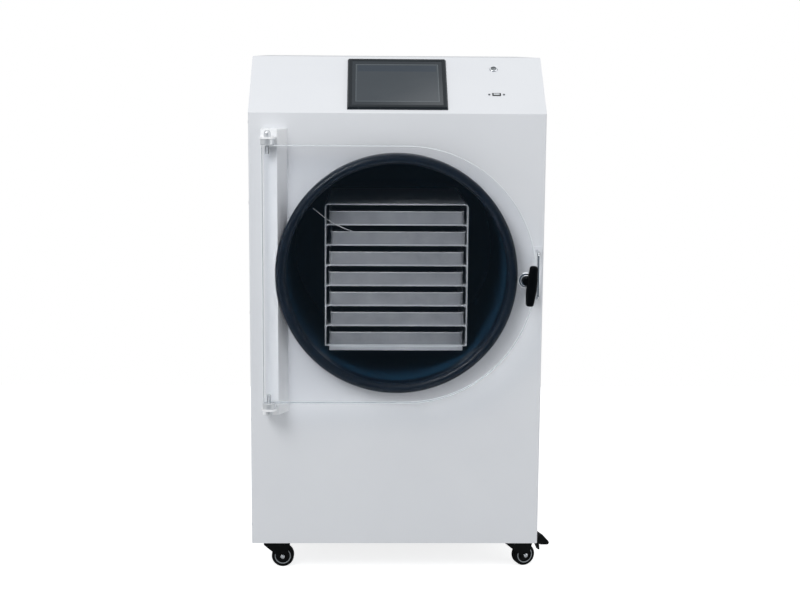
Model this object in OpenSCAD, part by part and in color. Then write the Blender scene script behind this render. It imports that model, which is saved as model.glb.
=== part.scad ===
// Floor-standing freeze dryer in millimetres: +Z is up, +Y runs from the door to the back.
// The origin is on the floor, under the middle of the cabinet.

/* [Cabinet] */
// Outside width of the cabinet
cabinet_width = 660; // [640:10:760]
// Outside depth of the cabinet
cabinet_depth = 700; // [690:10:820]
// Height of the flat front face
face_height = 988; // [970:4:1080]
// Height of the underside above the floor
floor_gap = 74; // [72:1:84]
// Horizontal run of the sloping console
console_run = 156; // [146:2:190]
// Rise of the sloping console
console_rise = 122; // [112:2:150]
// Thickness of the cabinet's steel sheet
sheet = 1.5; // [1.2:0.1:2]
// Bend radius of the front and back sheets' vertical edges
bend_radius = 4; // [3:0.5:6]
// Width of the returns folded behind the sheets' edges
return_width = 20; // [16:1:26]
// Open seam between neighbouring sheets
seam = 1; // [0.5:0.1:1.5]
// Thickness of the floor of the cabinet
pan_sheet = 2; // [1.5:0.1:3]
// Leg width of the inner frame's angles and rails
rail_size = 20; // [16:1:25]
// Wall of the inner frame's angles
angle_wall = 2.5; // [2:0.1:4]
// Height of the frame's rear rail above the chamber's axis
rear_rail_rise = 150; // [100:10:220]
// Distance of the drum's saddles from the ends of its straight part
saddle_inset = 60; // [50:5:75]

/* [Louvres and rear grille] */
// Number of louvres in each side panel
louvre_count = 9; // [4:1:12]
// Length of a louvre
louvre_length = 300; // [200:10:400]
// Vertical distance between louvres
louvre_pitch = 20; // [16:1:24]
// Height of a louvre's hood
louvre_hood = 7; // [5:0.5:8]
// Width of one ring slot in the rear grille
grille_slot = 7; // [5:0.5:8]
// Metal left between two ring slots
grille_web = 5; // [4:0.5:7]
// Number of ring slots
grille_rings = 8; // [5:1:9]

/* [Vacuum chamber] */
// Height of the flat front face above the drum
drum_headroom = 102; // [90:2:120]
// Wall of the drum
drum_wall = 4; // [3:0.5:6]
// Straight length of the drum behind the front face
drum_depth = 450; // [430:5:470]
// How far the drum's rim stands out of the front face
rim_reach = 20; // [14:1:28]
// Radial thickness of the door gasket
gasket_thickness = 22; // [20:1:26]
// How far the gasket stands out of the front face
gasket_reach = 45; // [40:1:52]
// How far the gasket's lip covers the drum's bore
gasket_lip = 2; // [1:0.5:3]
// Thickness of the foam jacket
foam_thickness = 28; // [20:1:30]
// Radius of the evaporator and refrigerant tubes
tube_radius = 4.75; // [4:0.25:6]
// Turns of the evaporator round the drum
coil_turns = 12; // [6:1:13]
// Distance between two turns
coil_pitch = 30; // [24:1:31]

/* [Rack and trays] */
// Number of shelves and trays
tray_count = 7; // [7:1:7]
// Outside width of the rack
rack_width = 324; // [312:2:330]
// Height of the free space above the rack, at its upper corners
rack_headroom = 24.5; // [16:0.1:50]
// Sheet of the rack's folded shelves
rack_sheet = 3; // [2:0.25:3.5]
// Radius of the folds in the shelves' upper corners
fold_radius = 6; // [4:0.5:8]
// Space between the rack's lower corners and the drum's wall
rack_gap = 0.6; // [0.4:0.1:1]
// Distance of the rack behind the front face
rack_setback = 40; // [36:1:50]
// Space between a tray and the rack's side walls
tray_side_gap = 7; // [7:0.5:19]
// Height of a tray
tray_height = 29; // [24:1:34]
// Radius of a tray's upright corners
tray_corner = 8; // [4:1:14]
// Sheet of a tray
tray_sheet = 1.2; // [0.8:0.1:1.6]
// How far the trays' fronts stand behind the rack's front edge
tray_setback = 3; // [2:1:6]
// How far the edges of the plate under the rack lie inside the rack's sides
base_plate_inset = 10; // [8:1:24]
// Height of that plate's side flanges, which carry the rack on the drum's wall
base_plate_height = 20; // [19:0.5:23]
// Height of that plate's front apron
base_apron = 9; // [6:0.5:11]
// Radius of the probe wire
wire_radius = 0.9; // [0.7:0.1:1.2]

/* [Door] */
// Thickness of the clear door
door_thickness = 24; // [20:1:28]
// How far the door reaches past the gasket at its top and bottom
door_overlap = 19; // [15:1:23]
// Centre of the door's round side, right of the chamber's axis
door_arc_offset = 20; // [16:1:21]
// Distance of the door's left edge from the cabinet's side
door_side_gap = 34; // [32:1:38]
// Chamfer of the door's front and back edges
door_chamfer = 1.5; // [0.5:0.5:3]
// Space left between the closed door and the gasket's crest
seal_gap = 0.3; // [0.2:0.1:0.5]
// Distance of the hinge pins from the door's left edge
hinge_inset = 12; // [11:0.5:15]
// Radius of the hinge pins
hinge_pin_radius = 4; // [3:0.5:5]
// Depth of a hinge pin in the door's edge
hinge_pin_depth = 18; // [12:1:30]
// Radius of the hinge collars
collar_radius = 15; // [11:0.5:16]
// Height of the hinge collars
collar_height = 13; // [10:1:16]
// Radius of the hinge pins' domed nuts
dome_radius = 7.5; // [6:0.5:8]
// Radial running clearance of pins and spindles
running_gap = 0.05; // [0.03:0.01:0.08]
// Clearance at rest between pieces that move past each other
rest_gap = 0.3; // [0.2:0.05:0.4]

/* [Hinge post] */
// How far the hinge post stands out of the front face
post_reach = 36; // [34:1:38]
// Width of the hinge post's front
post_front = 36; // [32:1:40]
// Width that the post's sloping side adds at the front face
post_slope = 20; // [14:1:24]
// How far the post reaches beyond the door's top and bottom edges
post_overlap = 33; // [30:1:40]
// Sheet of the hinge post
post_sheet = 2; // [1.5:0.1:3]
// Thickness of the hinge lugs
lug_thickness = 4; // [3:0.5:6]
// Space between the gasket and the notch in the post
notch_gap = 2; // [1.5:0.5:4]

/* [Latch] */
// Distance of the latch spindle from the door's round edge
latch_inset = 24; // [22:1:27]
// Height of the latch spindle below the chamber's axis
latch_drop = 6; // [0:1:14]
// Radius of the latch spindle
spindle_radius = 5; // [4:0.5:6]
// Radius of the latch bush's flange
boss_radius = 17.5; // [15:0.5:18]
// Height of the latch bush's flange in front of the door
boss_height = 12; // [9:0.5:16]
// Length of the lever grip
grip_length = 90; // [84:2:100]
// Width of the lever grip across its middle
grip_width = 23; // [20:1:26]
// Width of the lever grip at its ends
grip_end_width = 18; // [15:1:19]
// Thickness of the lever grip
grip_thickness = 16; // [13:1:18]
// Lean of the lever grip from upright
grip_lean = 5.5; // [0:0.5:10]
// How far the grip's middle lies beside the spindle
grip_aside = 11; // [6:1:12]
// How far the grip's middle lies below the spindle
grip_below = 10; // [0:1:14]
// Radius of the lever's hub
hub_radius = 9; // [8:0.5:10]
// Length of the tongue from the spindle's axis
tongue_length = 42; // [40:1:44]
// Width of the tongue
tongue_width = 16; // [14:1:20]
// Thickness of the tongue
tongue_thickness = 4; // [3:0.5:5]
// Radius of the strike rod
strike_radius = 3.5; // [3:0.5:4]
// Distance of the strike rod's axis from the cabinet's side
strike_margin = 16; // [13:1:22]
// Space between the door's edge and the strike rod
strike_gap = 3.5; // [3:0.5:5]
// Overall height of the strike rod
strike_height = 110; // [104:2:124]
// How far the strike's middle lies above the spindle
strike_rise = 4; // [0:1:8]
// Width of the strike plate
strike_plate_width = 24; // [20:1:26]
// Thickness of the strike plate
strike_plate_thickness = 3; // [2:0.5:4]

/* [Console] */
// Width of the touch screen's bezel
screen_width = 224; // [200:2:250]
// Height of the touch screen's bezel, up the slope
screen_height = 174; // [150:2:176]
// How far the bezel stands proud of the console
bezel_height = 6; // [4:0.5:8]
// Width of the bezel's frame round the glass
bezel_frame = 10; // [7:0.5:14]
// Depth of the screen's housing behind the console
housing_depth = 34; // [25:1:45]
// Distance of the push button from the right side
button_inset = 110; // [80:2:150]
// Place of the push button up the slope
button_up = 156; // [130:2:166]
// Radius of the push button's bezel
button_radius = 9.5; // [8:0.5:12]
// Radius of the push button's cap
button_cap_radius = 6.5; // [5:0.5:7]
// Travel of the push button
button_travel = 2; // [1:0.5:3]
// Distance of the data socket from the right side
socket_inset = 108; // [80:2:140]
// Place of the data socket up the slope
socket_up = 66; // [40:2:100]
// Width of the data socket's front
socket_width = 19; // [17:0.5:22]
// Height of the data socket's front
socket_height = 9; // [8:0.5:12]
// Distance of each socket screw from the socket's middle
socket_screw_reach = 16.5; // [14:0.5:20]

/* [Casters] */
// Distance of the caster pins from the cabinet's sides
caster_inset_x = 46; // [46:1:60]
// Distance of the caster pins from the cabinet's front and back
caster_inset_y = 60; // [46:1:80]
// Radius of the caster wheels
wheel_radius = 26; // [24:0.5:26]
// Width of the caster wheels
wheel_width = 20; // [16:1:24]
// Distance of the axle behind the swivel pin
caster_trail = 22; // [19:1:24]
// Side of the square mounting plate
plate_size = 62; // [56:1:70]
// Thickness of the mounting plate
plate_thickness = 2.5; // [2:0.5:3]
// Radius of the swivel raceway
raceway_radius = 21; // [18:0.5:24]
// Thickness of the fork's cheeks
cheek_thickness = 2; // [1.5:0.5:3]
// Width of the brake pedal's pad
pedal_width = 30; // [24:2:36]

/* [Machinery] */
// Distance of the compressor's axis from the left side
compressor_inset = 160; // [130:5:180]
// Distance of the compressor's axis from the back
compressor_back = 250; // [220:5:300]
// Radius of the compressor's pot
compressor_radius = 78; // [60:2:84]
// Height of the compressor's pot
compressor_height = 180; // [150:5:220]
// Distance of the fan's axis from the right side
fan_inset = 190; // [160:5:200]
// Side of the square fan frame
fan_size = 250; // [220:5:260]
// Depth of the fan frame
fan_depth = 56; // [45:1:70]
// Radius of the fan's hub
fan_hub = 36; // [28:1:38]
// Chord of the fan's blades
blade_chord = 50; // [40:1:54]
// Thickness of the fan's blades
blade_thickness = 2.5; // [1.5:0.25:3]
// Blades of the fan
fan_blades = 5; // [3:1:7]
// Depth of the condenser
condenser_depth = 50; // [35:1:60]
// How far the refrigerant lines rise above the compressor and the condenser
line_rise = 50; // [40:1:60]
// Distance of the refrigerant headers behind the drum's straight part
header_reach = 20; // [15:1:40]
// Inside radius of the vacuum port
port_bore = 12; // [10:0.5:14]
// Radius of the vacuum port's flange
port_flange = 20; // [19:0.5:24]
// How far the vacuum port stands out of the back
port_reach = 36; // [30:1:50]
// Radius of the drain tail
drain_radius = 6; // [5:0.5:7]
// Distance of the drain tube below the foam jacket
drain_drop = 54; // [30:1:60]
// How far the drain tail stands out of the back
drain_reach = 30; // [25:1:50]
// Distance of the power inlet from the left side and the bottom
inlet_inset = 110; // [80:5:150]

/* [Hidden] */
$fn = 64;
CASTERS = ["front_left", "front_right", "rear_left", "rear_right"];
// The casters that have a brake
BRAKED = [1, 2];

// Main levels and faces
front_y = -cabinet_depth / 2;
back_y = cabinet_depth / 2;
side_x = cabinet_width / 2;
base_z = floor_gap;
pan_top = base_z + pan_sheet;
face_top = base_z + face_height;
top_z = face_top + console_rise;
slope_angle = atan2(console_rise, console_run);
fit_gap = 0.2;
tray_clearance = 0.02;

// Strike, door and gasket follow each other inwards from the cabinet's right side
strike_x = side_x - strike_margin;
door_edge_x = strike_x - strike_radius - strike_gap;
door_height = 2 * (door_edge_x - door_arc_offset);
gasket_outer = door_height / 2 - door_overlap;
gasket_inner = gasket_outer - gasket_thickness;

// Chamber
drum_radius = gasket_inner + gasket_lip;
drum_outer = drum_radius + drum_wall;
chamber_z = face_top - drum_headroom - drum_outer;
dish_radius = 2 * drum_outer;
dish_centre = drum_depth - sqrt(pow(dish_radius, 2) - pow(drum_outer, 2));
dish_end = dish_centre + dish_radius;
panel_hole = drum_outer + 3;
coil_ring_radius = drum_outer + fit_gap + tube_radius;
foam_inner = coil_ring_radius + tube_radius + fit_gap;
foam_outer = foam_inner + foam_thickness;
foam_ends = 10;
coil_start = 50;
line_radius = 0.9 * tube_radius;

// Rack: its base plate's flanges rest on the drum's wall, and it ends where the dished back begins
base_plate_width = rack_width - 2 * base_plate_inset;
rack_rise = sqrt(pow(drum_radius - rack_gap, 2) - pow(base_plate_width / 2, 2)) - base_plate_height;
rack_bottom = chamber_z - rack_rise;
rack_height = 2 * rack_rise - rack_headroom;
shelf_pitch = (rack_height - rack_sheet) / tray_count;
rack_y = front_y + rack_setback;
rack_length = drum_depth - rack_setback - 10;
tray_width = rack_width - 2 * (rack_sheet + tray_side_gap);
tray_length = rack_length - 2 * tray_setback;
base_step = 60;
// How far each tray was pushed in off the middle
tray_shift = [0, 4, 0, -1, 0, 3, 0];

// Probe: the gland's end, and the wire's middle line from it over a tray's rim to the probe
gland_along = [-0.8, 0.6];
gland_end = 235;
gland_radius = 5;
probe_radius = 1.5;
probe_length = 25;
wire_points = [
    [-188, -322, 849], [-184, -322, 846.1], [-178, -322, 841.5], [-171, -322, 835.5],
    [-163, -322.5, 829.1], [-154, -323, 822.8], [-145, -323, 817.4], [-136, -322.5, 812.5],
    [-128, -321, 808.5], [-120.5, -318.5, 804.9], [-113.5, -315, 801.5],
    [-107, -310.5, 798.5], [-102, -305.5, 796.5], [-98.5, -300.5, 794],
    [-96, -295.5, 790.5], [-94, -290, 786], [-92.5, -284.5, 780.5], [-91, -279, 775.5],
    [-89.5, -273, 771.9], [-88.5, -266.5, 770.1], [-88, -260, 769.5], [-88, -254, 769.5]];

// Door and hinge
door_back_y = front_y - gasket_reach - seal_gap;
door_front_y = door_back_y - door_thickness;
hinge_y = door_back_y - door_thickness / 2;
door_left = side_x - door_side_gap;
hinge_x = hinge_inset - door_left;
post_left = -door_left - 4;
lug_z = door_height / 2 + rest_gap + collar_height;
lug_radius = collar_radius + 2;

// Latch and strike
latch_x = door_edge_x - latch_inset;
latch_z = chamber_z - latch_drop;
bush_radius = spindle_radius + 3;
back_nut = 4;
tongue_y = door_back_y + back_nut + rest_gap;
strike_y = tongue_y - rest_gap - strike_radius;
strike_z = latch_z + strike_rise;
strike_bend = 8;
plate_front_y = front_y - strike_plate_thickness;
grip_y = door_front_y - boss_height - rest_gap;
grip_round = 6;
grip_socket = 14;
grip_standoff = 5;

// Console
button_x = side_x - button_inset;
socket_x = side_x - socket_inset;
slope_middle = norm([console_run, console_rise]) / 2;
screen_cut_width = screen_width - 16;
screen_cut_height = screen_height - 16;
glass_thickness = 2;
glass_drop = 0.6;
button_shank = button_radius - 1.5;
button_stem = 3;
button_length = 24;

// Rear services
port_end = back_y + port_reach;
drain_z = chamber_z - foam_outer - drain_drop;
drain_y = front_y + coil_start + 10.5 * coil_pitch;
inlet_place = [inlet_inset - side_x, back_y, base_z + inlet_inset];
inlet_body = [28, 24, 20];
port_wall = 2;
rail_top = chamber_z - foam_outer - 2;
frame_x = side_x - sheet - fit_gap;
fan_place = [side_x - fan_inset, pan_top + sheet + fit_gap + fan_size / 2];
fan_opening = fan_size / 2 - 8;
compressor_place = [compressor_inset - side_x, back_y - compressor_back];
compressor_top = pan_top + 22 + compressor_height;
condenser_y = back_y - sheet - fan_depth - condenser_depth;
condenser_top = pan_top + fan_size;
box_size = [300, 80, 110];
box_bottom = face_top - 40;

// Casters
axle_radius = 4;
tyre_depth = 7;
wheel_hub = 10;
kingpin_radius = 5;
raceway_top = base_z - plate_thickness - rest_gap;
raceway_height = 6;
raceway_bottom = raceway_top - raceway_height;
cheek_inside = wheel_width / 2 + 2.5;
cheek_outside = cheek_inside + cheek_thickness;
pedal_pivot = [caster_trail + 10, base_z - 16];
pedal_pin = 2.5;
// How far each caster is swivelled from pointing right
CASTER_TURN = [0, 20, 0, 0];
caster_x = side_x - caster_inset_x;
caster_y = cabinet_depth / 2 - caster_inset_y;
CASTER_PLACES = [[-caster_x, -caster_y], [caster_x, -caster_y],
                 [-caster_x, caster_y], [caster_x, caster_y]];

// ---- Helpers ----

// A cylinder along Y from the given point towards the back
module rod_y(at, length, r) translate(at) rotate([-90, 0, 0]) cylinder(r = r, h = length);

// A (y, z) outline drawn along X, centred on the middle
module drawn_x(width) rotate([90, 0, 90]) linear_extrude(width, center = true) children();

// An (x, z) outline drawn along Y, from y towards the back
module drawn_y(y, length) translate([0, y + length, 0]) rotate([90, 0, 0])
    linear_extrude(length) children();

// A (radius, distance behind the front face) outline turned round the chamber's axis
module turned_on_chamber() translate([0, front_y, chamber_z]) rotate([-90, 0, 0])
    rotate_extrude($fn = 128) children();

// A rectangle with four round corners, centred
module rounded_rect(w, h, r) {
    square([w - 2 * r, h], center = true);
    square([w, h - 2 * r], center = true);
    for (x = [-1, 1], y = [-1, 1])
        translate([x * (w / 2 - r), y * (h / 2 - r)]) circle(r = r);
}

// A rectangle from y = 0 up with its two lower corners rounded
module scoop(w, h, r) {
    translate([-w / 2, r]) square([w, h - r]);
    translate([r - w / 2, 0]) square([w - 2 * r, h]);
    for (x = [-1, 1]) translate([x * (w / 2 - r), r]) circle(r = r);
}

// The plan of a sheet folded back at both sides
module folded_plan() difference() {
    scoop(cabinet_width, return_width, bend_radius);
    translate([0, sheet])
        scoop(cabinet_width - 2 * sheet, return_width, bend_radius - sheet);
}

// The console's frame of reference: X across, Y up the slope, Z out of it
module on_console(x, up) translate([x, front_y, face_top]) rotate([slope_angle, 0, 0])
    translate([0, up, 0]) children();

// A straight run of tube between two points
module tube_run(a, b, r) {
    d = b - a;
    translate(a) rotate([0, acos(d.z / norm(d)), atan2(d.y, d.x)]) cylinder(r = r, h = norm(d));
}

// A tube through several points, with a round elbow at each turn
module tube_path(points, r) {
    for (i = [0:len(points) - 2]) tube_run(points[i], points[i + 1], r);
    for (i = [1:len(points) - 2]) translate(points[i]) rotate([25, 35, 0]) sphere(r = 1.3 * r);
}

// ---- Cabinet ----

// The console and top sheet's outline, moved inwards by t
function console_offset(t) = [front_y + console_run, top_z] + t * [tan(slope_angle / 2), -1];

// Front face: one sheet folded back at its sides, with the round opening for the chamber
module front_panel() color("whitesmoke") difference() {
    union() {
        translate([0, front_y, base_z]) linear_extrude(face_height) folded_plan();
        for (z = [pan_top, face_top - sheet])
            translate([bend_radius - side_x, front_y + sheet / 2, z])
                cube([cabinet_width - 2 * bend_radius, return_width, sheet]);
    }
    rod_y([0, front_y - 1, chamber_z], sheet + 2, panel_hole, $fn = 128);
    strike_holes(front_y, sheet);
}

// Sloping console and flat top in one sheet, with side cheeks and a rear return
module top_cover() color("white") difference() {
    drawn_x(cabinet_width) polygon([
        [front_y, face_top], [front_y + console_run, top_z], [back_y, top_z],
        [back_y, top_z - return_width], console_offset(return_width),
        [front_y + return_width / sin(slope_angle), face_top]]);
    drawn_x(cabinet_width - 2 * sheet) polygon([
        [front_y + sheet / sin(slope_angle), face_top - 1],
        [front_y + sheet / sin(slope_angle), face_top], console_offset(sheet),
        [back_y - sheet, top_z - sheet], [back_y - sheet, face_top - 1]]);
    on_console(0, slope_middle) translate([0, 0, -10])
        linear_extrude(20) square([screen_cut_width, screen_cut_height], center = true);
    on_console(button_x, button_up) translate([0, 0, -10]) cylinder(r = button_shank, h = 20);
    on_console(socket_x, socket_up) translate([0, 0, -10]) linear_extrude(20)
        square([socket_width - 4, socket_height - 1], center = true);
}

// One pressed louvre, drawn along Y, that opens downwards on the +X side
module louvre() rotate([90, 0, 0]) {
    linear_extrude(louvre_length, center = true) difference() {
        quarter_disc(louvre_hood);
        quarter_disc(louvre_hood - sheet);
    }
    for (end = [-1, 1]) translate([0, 0, end * (louvre_length - sheet) / 2])
        linear_extrude(sheet, center = true) quarter_disc(louvre_hood);
}

module quarter_disc(r) intersection() {
    circle(r = r);
    square(2 * r);
}

// Side panel between the front and back returns, with louvres for the machinery
module side_panel(side) color("whitesmoke") {
    inset = return_width + seam;
    step_y = front_y + (inset - seam * cos(slope_angle)) / sin(slope_angle);
    louvre_bottom = base_z + 90;
    scale_x = side > 0 ? 0 : 1;
    mirror([scale_x, 0, 0]) difference() {
        union() {
            translate([side_x - sheet / 2, 0, 0]) drawn_x(sheet) polygon([
                [front_y + inset, base_z], [front_y + inset, face_top - seam],
                [step_y, face_top - seam], console_offset(inset),
                [back_y - inset, top_z - inset], [back_y - inset, base_z]]);
            for (i = [0:louvre_count - 1])
                translate([side_x - sheet, 0, louvre_bottom + i * louvre_pitch]) louvre();
        }
        for (i = [0:louvre_count - 1])
            translate([side_x - sheet - 1, sheet - louvre_length / 2,
                       louvre_bottom + i * louvre_pitch - 1])
                cube([sheet + 1, louvre_length - 2 * sheet, louvre_hood - sheet]);
    }
}

// Back sheet with the fan's ring grille and the holes for the services
module back_panel() color("whitesmoke") difference() {
    union() {
        translate([0, back_y, base_z]) mirror([0, 1, 0])
            linear_extrude(top_z - base_z - return_width - seam) folded_plan();
        translate([bend_radius - side_x, back_y - sheet / 2 - return_width, pan_top])
            cube([cabinet_width - 2 * bend_radius, return_width, sheet]);
    }
    difference() {
        for (i = [1:grille_rings]) difference() {
            rod_y([fan_place.x, back_y - sheet - 1, fan_place.y], sheet + 2, grille_radius(i));
            rod_y([fan_place.x, back_y - sheet - 2, fan_place.y], sheet + 4,
                  grille_radius(i) - grille_slot);
        }
        for (turn = [45, 135]) translate([fan_place.x, back_y, fan_place.y]) rotate([0, turn, 0])
            cube([2 * fan_size, 20, 2 * grille_web], center = true);
    }
    rod_y([0, back_y - sheet - 1, chamber_z], sheet + 2, port_bore + 3);
    rod_y([0, back_y - sheet - 1, drain_z], sheet + 2, drain_radius + 1);
    translate(inlet_place) cube([inlet_body.x + 1, 4 * sheet, inlet_body.z + 1], center = true);
}

function grille_radius(i) = 12 + i * (grille_slot + grille_web);

// Floor of the cabinet, turned up along the sides
module base_pan() color("gainsboro") translate([0, 0, base_z]) {
    length = cabinet_depth - 2 * (sheet + fit_gap);
    linear_extrude(pan_sheet) rounded_rect(2 * frame_x, length, bend_radius);
    for (x = [-frame_x, frame_x - pan_sheet])
        translate([x, return_width - cabinet_depth / 2, 0])
            cube([pan_sheet, cabinet_depth - 2 * return_width, return_width]);
}

// Welded frame: corner angles, four rails and two saddles that carry the insulated drum
module inner_frame() color("silver") {
    inside_y = cabinet_depth / 2 - sheet - fit_gap;
    post_bottom = pan_top + sheet + fit_gap;
    post_top = face_top - sheet - fit_gap;
    for (x = [0, 1], y = [0, 1]) mirror([x, 0, 0]) mirror([0, y, 0])
        translate([frame_x - pan_sheet - fit_gap, inside_y, post_bottom]) mirror([1, 1, 0])
            linear_extrude(post_top - post_bottom) corner_angle();
    for (place = [[-1, rail_top - rail_size / 2], [1, chamber_z + rear_rail_rise]])
        translate([0, place[0] * (inside_y - rail_size / 2), place[1]])
            cube([2 * (frame_x - pan_sheet) - rail_size, rail_size, rail_size], center = true);
    for (x = [-1, 1])
        translate([x * (frame_x - pan_sheet - (rail_size + fit_gap) / 2), 0, rail_top - rail_size / 2])
            cube([rail_size, 2 * inside_y - rail_size, rail_size], center = true);
    for (y = [front_y + saddle_inset, front_y + drum_depth - saddle_inset]) difference() {
        translate([-frame_x + rail_size, y, rail_top - rail_size])
            cube([2 * (frame_x - rail_size), 4, 100]);
        rod_y([0, y - 1, chamber_z], 6, foam_outer + fit_gap, $fn = 128);
    }
}

// An L-shaped section in the quadrant of +X and +Y
module corner_angle() {
    square([rail_size, angle_wall]);
    square([angle_wall, rail_size]);
}

// ---- Chamber ----

// A round-ended profile from the rim to a dished back
module drum_profile(r, dish, start) {
    translate([0, start]) square([r, drum_depth - 10 - start]);
    intersection() {
        translate([0, dish_centre]) circle(r = dish, $fn = 128);
        translate([0, drum_depth - 20]) square([r, dish]);
    }
}

// Welded drum with a dished back, bored for the vacuum port and the drain
module chamber_drum() color([0.07, 0.09, 0.12]) difference() {
    union() {
        turned_on_chamber() difference() {
            drum_profile(drum_outer, dish_radius, -rim_reach);
            drum_profile(drum_radius, dish_radius - drum_wall, -rim_reach - 1);
        }
        tube_run([gland_along.x * gland_end, wire_points[0].y, chamber_z + gland_along.y * gland_end],
                 [gland_along.x * (drum_radius + 2), wire_points[0].y,
                  chamber_z + gland_along.y * (drum_radius + 2)], gland_radius);
    }
    rod_y([0, front_y + dish_centre, chamber_z], dish_radius + 1, port_bore + port_wall + fit_gap);
    translate([0, drain_y, chamber_z - foam_outer])
        cylinder(r = drain_radius + fit_gap, h = foam_outer / 2);
}

// Thick gasket with a full-round lip, pushed over the drum's rim
module door_gasket() color([0.05, 0.07, 0.1]) turned_on_chamber() difference() {
    lip = gasket_thickness / 2;
    union() {
        translate([gasket_inner, lip - gasket_reach]) square([gasket_thickness, gasket_reach - lip]);
        translate([gasket_inner + lip, lip - gasket_reach]) circle(r = lip);
    }
    translate([drum_radius - fit_gap, -rim_reach - fit_gap])
        square([drum_wall + 2 * fit_gap, rim_reach + 1]);
}

// Foam jacket over the evaporator's turns
module drum_insulation() color("khaki") difference() {
    turned_on_chamber() translate([foam_inner, foam_ends])
        square([foam_thickness, drum_depth - 2 * foam_ends]);
    translate([0, drain_y, chamber_z - 2 * foam_outer])
        cylinder(r = drain_radius + fit_gap, h = 2 * foam_outer);
}

// Brazed copper circuit: evaporator turns with a header on each side, and the lines from the
// headers to the compressor and the condenser
module refrigerant_pipes() color("peru") {
    start_y = front_y + coil_start;
    turn_y = front_y + drum_depth + header_reach;
    suction_top = compressor_top + line_rise;
    liquid_top = condenser_top + line_rise;
    liquid_y = condenser_y + condenser_depth / 2;
    liquid_x = fan_place.x + fan_size / 2 - 45;
    for (i = [0:coil_turns - 1]) turned_on_chamber()
        translate([coil_ring_radius, coil_start + i * coil_pitch]) circle(r = tube_radius, $fn = 24);
    tube_path([[-coil_ring_radius, start_y, chamber_z], [-coil_ring_radius, turn_y, chamber_z],
               [-coil_ring_radius, turn_y, suction_top], [compressor_place.x, turn_y, suction_top],
               [compressor_place.x, compressor_place.y, suction_top],
               [compressor_place.x, compressor_place.y, compressor_top]], line_radius);
    tube_path([[coil_ring_radius, start_y, chamber_z], [coil_ring_radius, turn_y, chamber_z],
               [coil_ring_radius, turn_y, liquid_top], [liquid_x, turn_y, liquid_top],
               [liquid_x, liquid_y, liquid_top], [liquid_x, liquid_y, condenser_top]], line_radius);
}

// ---- Rack and trays ----

// Stack of folded shelves, each with round upper corners, welded into one rack
module tray_rack() color("silver") drawn_y(rack_y, rack_length) translate([0, rack_bottom])
    difference() {
        upright_scoop(rack_width, rack_height, fold_radius + rack_sheet);
        for (i = [0:tray_count - 1]) translate([0, rack_sheet + i * shelf_pitch])
            upright_scoop(rack_width - 2 * rack_sheet, shelf_pitch - rack_sheet, fold_radius);
    }

// A rectangle from y = 0 up with its two upper corners rounded
module upright_scoop(w, h, r) translate([0, h]) mirror([0, 1]) scoop(w, h, r);

// Floor level of a tray, counted from the top shelf, just clear of its shelf
function tray_z(i) = rack_bottom + rack_sheet + (tray_count - i) * shelf_pitch + tray_clearance;

// One tray: a folded pan with round upright corners
module tray(i) color("lightgray")
    translate([tray_shift[i - 1], rack_y + rack_length / 2, tray_z(i)]) difference() {
        linear_extrude(tray_height) rounded_rect(tray_width, tray_length, tray_corner);
        translate([0, 0, tray_sheet]) linear_extrude(tray_height)
            rounded_rect(tray_width - 2 * tray_sheet, tray_length - 2 * tray_sheet,
                         tray_corner - tray_sheet);
    }

// Bright plate under the rack, folded down at its front and, deeper, along its sides
module rack_base_plate() color("lightsteelblue") difference() {
    low = rack_bottom - base_plate_height;
    drawn_y(rack_y - 4, rack_length + 4) translate([0, low])
        upright_scoop(base_plate_width, base_plate_height, 2);
    drawn_y(rack_y - 2, rack_length + 4) translate([2 - base_plate_width / 2, low - 1])
        square([base_plate_width - 4, base_plate_height - 1]);
    translate([-rack_width, rack_y - 5, low - 1])
        cube([2 * rack_width, base_step, base_plate_height + 1 - base_apron]);
}

// Point at share t of the way from the i-th point to the next, on a smooth curve through them all
function along_curve(points, i, t) =
    let (last = len(points) - 1, a = points[max(i - 1, 0)], b = points[i],
         c = points[i + 1], d = points[min(i + 2, last)])
    b + t * ((c - a) / 2 + t * ((a - 2.5 * b + 2 * c - d / 2) + t * (1.5 * (b - c) + (d - a) / 2)));

// The eight corners of the tube's ring at p, square to the direction d
function tube_ring(p, d, r) =
    let (side = cross(d, [0, 0, 1]) / norm(cross(d, [0, 0, 1])), up = cross(side, d) / norm(d))
    [for (k = [0:7]) p + r * (cos(45 * k) * side + sin(45 * k) * up)];

// Probe wire: one thin cable that hangs from its gland to a tray's rim and lies in the tray
module probe_wire() color("silver") {
    last = len(wire_points) - 1;
    line = concat([for (i = [0:last - 1], t = [0, 0.5]) along_curve(wire_points, i, t)],
                  [wire_points[last]]);
    end = len(line) - 1;
    rings = [for (i = [0:end]) tube_ring(
        line[i], i == 0 ? wire_points[1] - wire_points[0]
            : i == end ? wire_points[last] - wire_points[last - 1] : line[i + 1] - line[i - 1],
        wire_radius)];
    polyhedron(
        points = [for (ring = rings, corner = ring) corner],
        faces = concat(
            [[for (k = [0:7]) k], [for (k = [7:-1:0]) 8 * end + k]],
            [for (i = [0:end - 1], k = [0:7])
                [8 * i + k, 8 * i + 8 + k, 8 * i + 8 + (k + 1) % 8, 8 * i + (k + 1) % 8]]));
}

// Stainless sleeve over the sensor at the wire's end
module probe_tip() color("silver") {
    start = wire_points[len(wire_points) - 1];
    rod_y(start, probe_length - probe_radius, probe_radius);
    translate(start + [0, probe_length - probe_radius, 0]) sphere(r = probe_radius);
}

// ---- Door, hinge and latch ----

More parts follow.
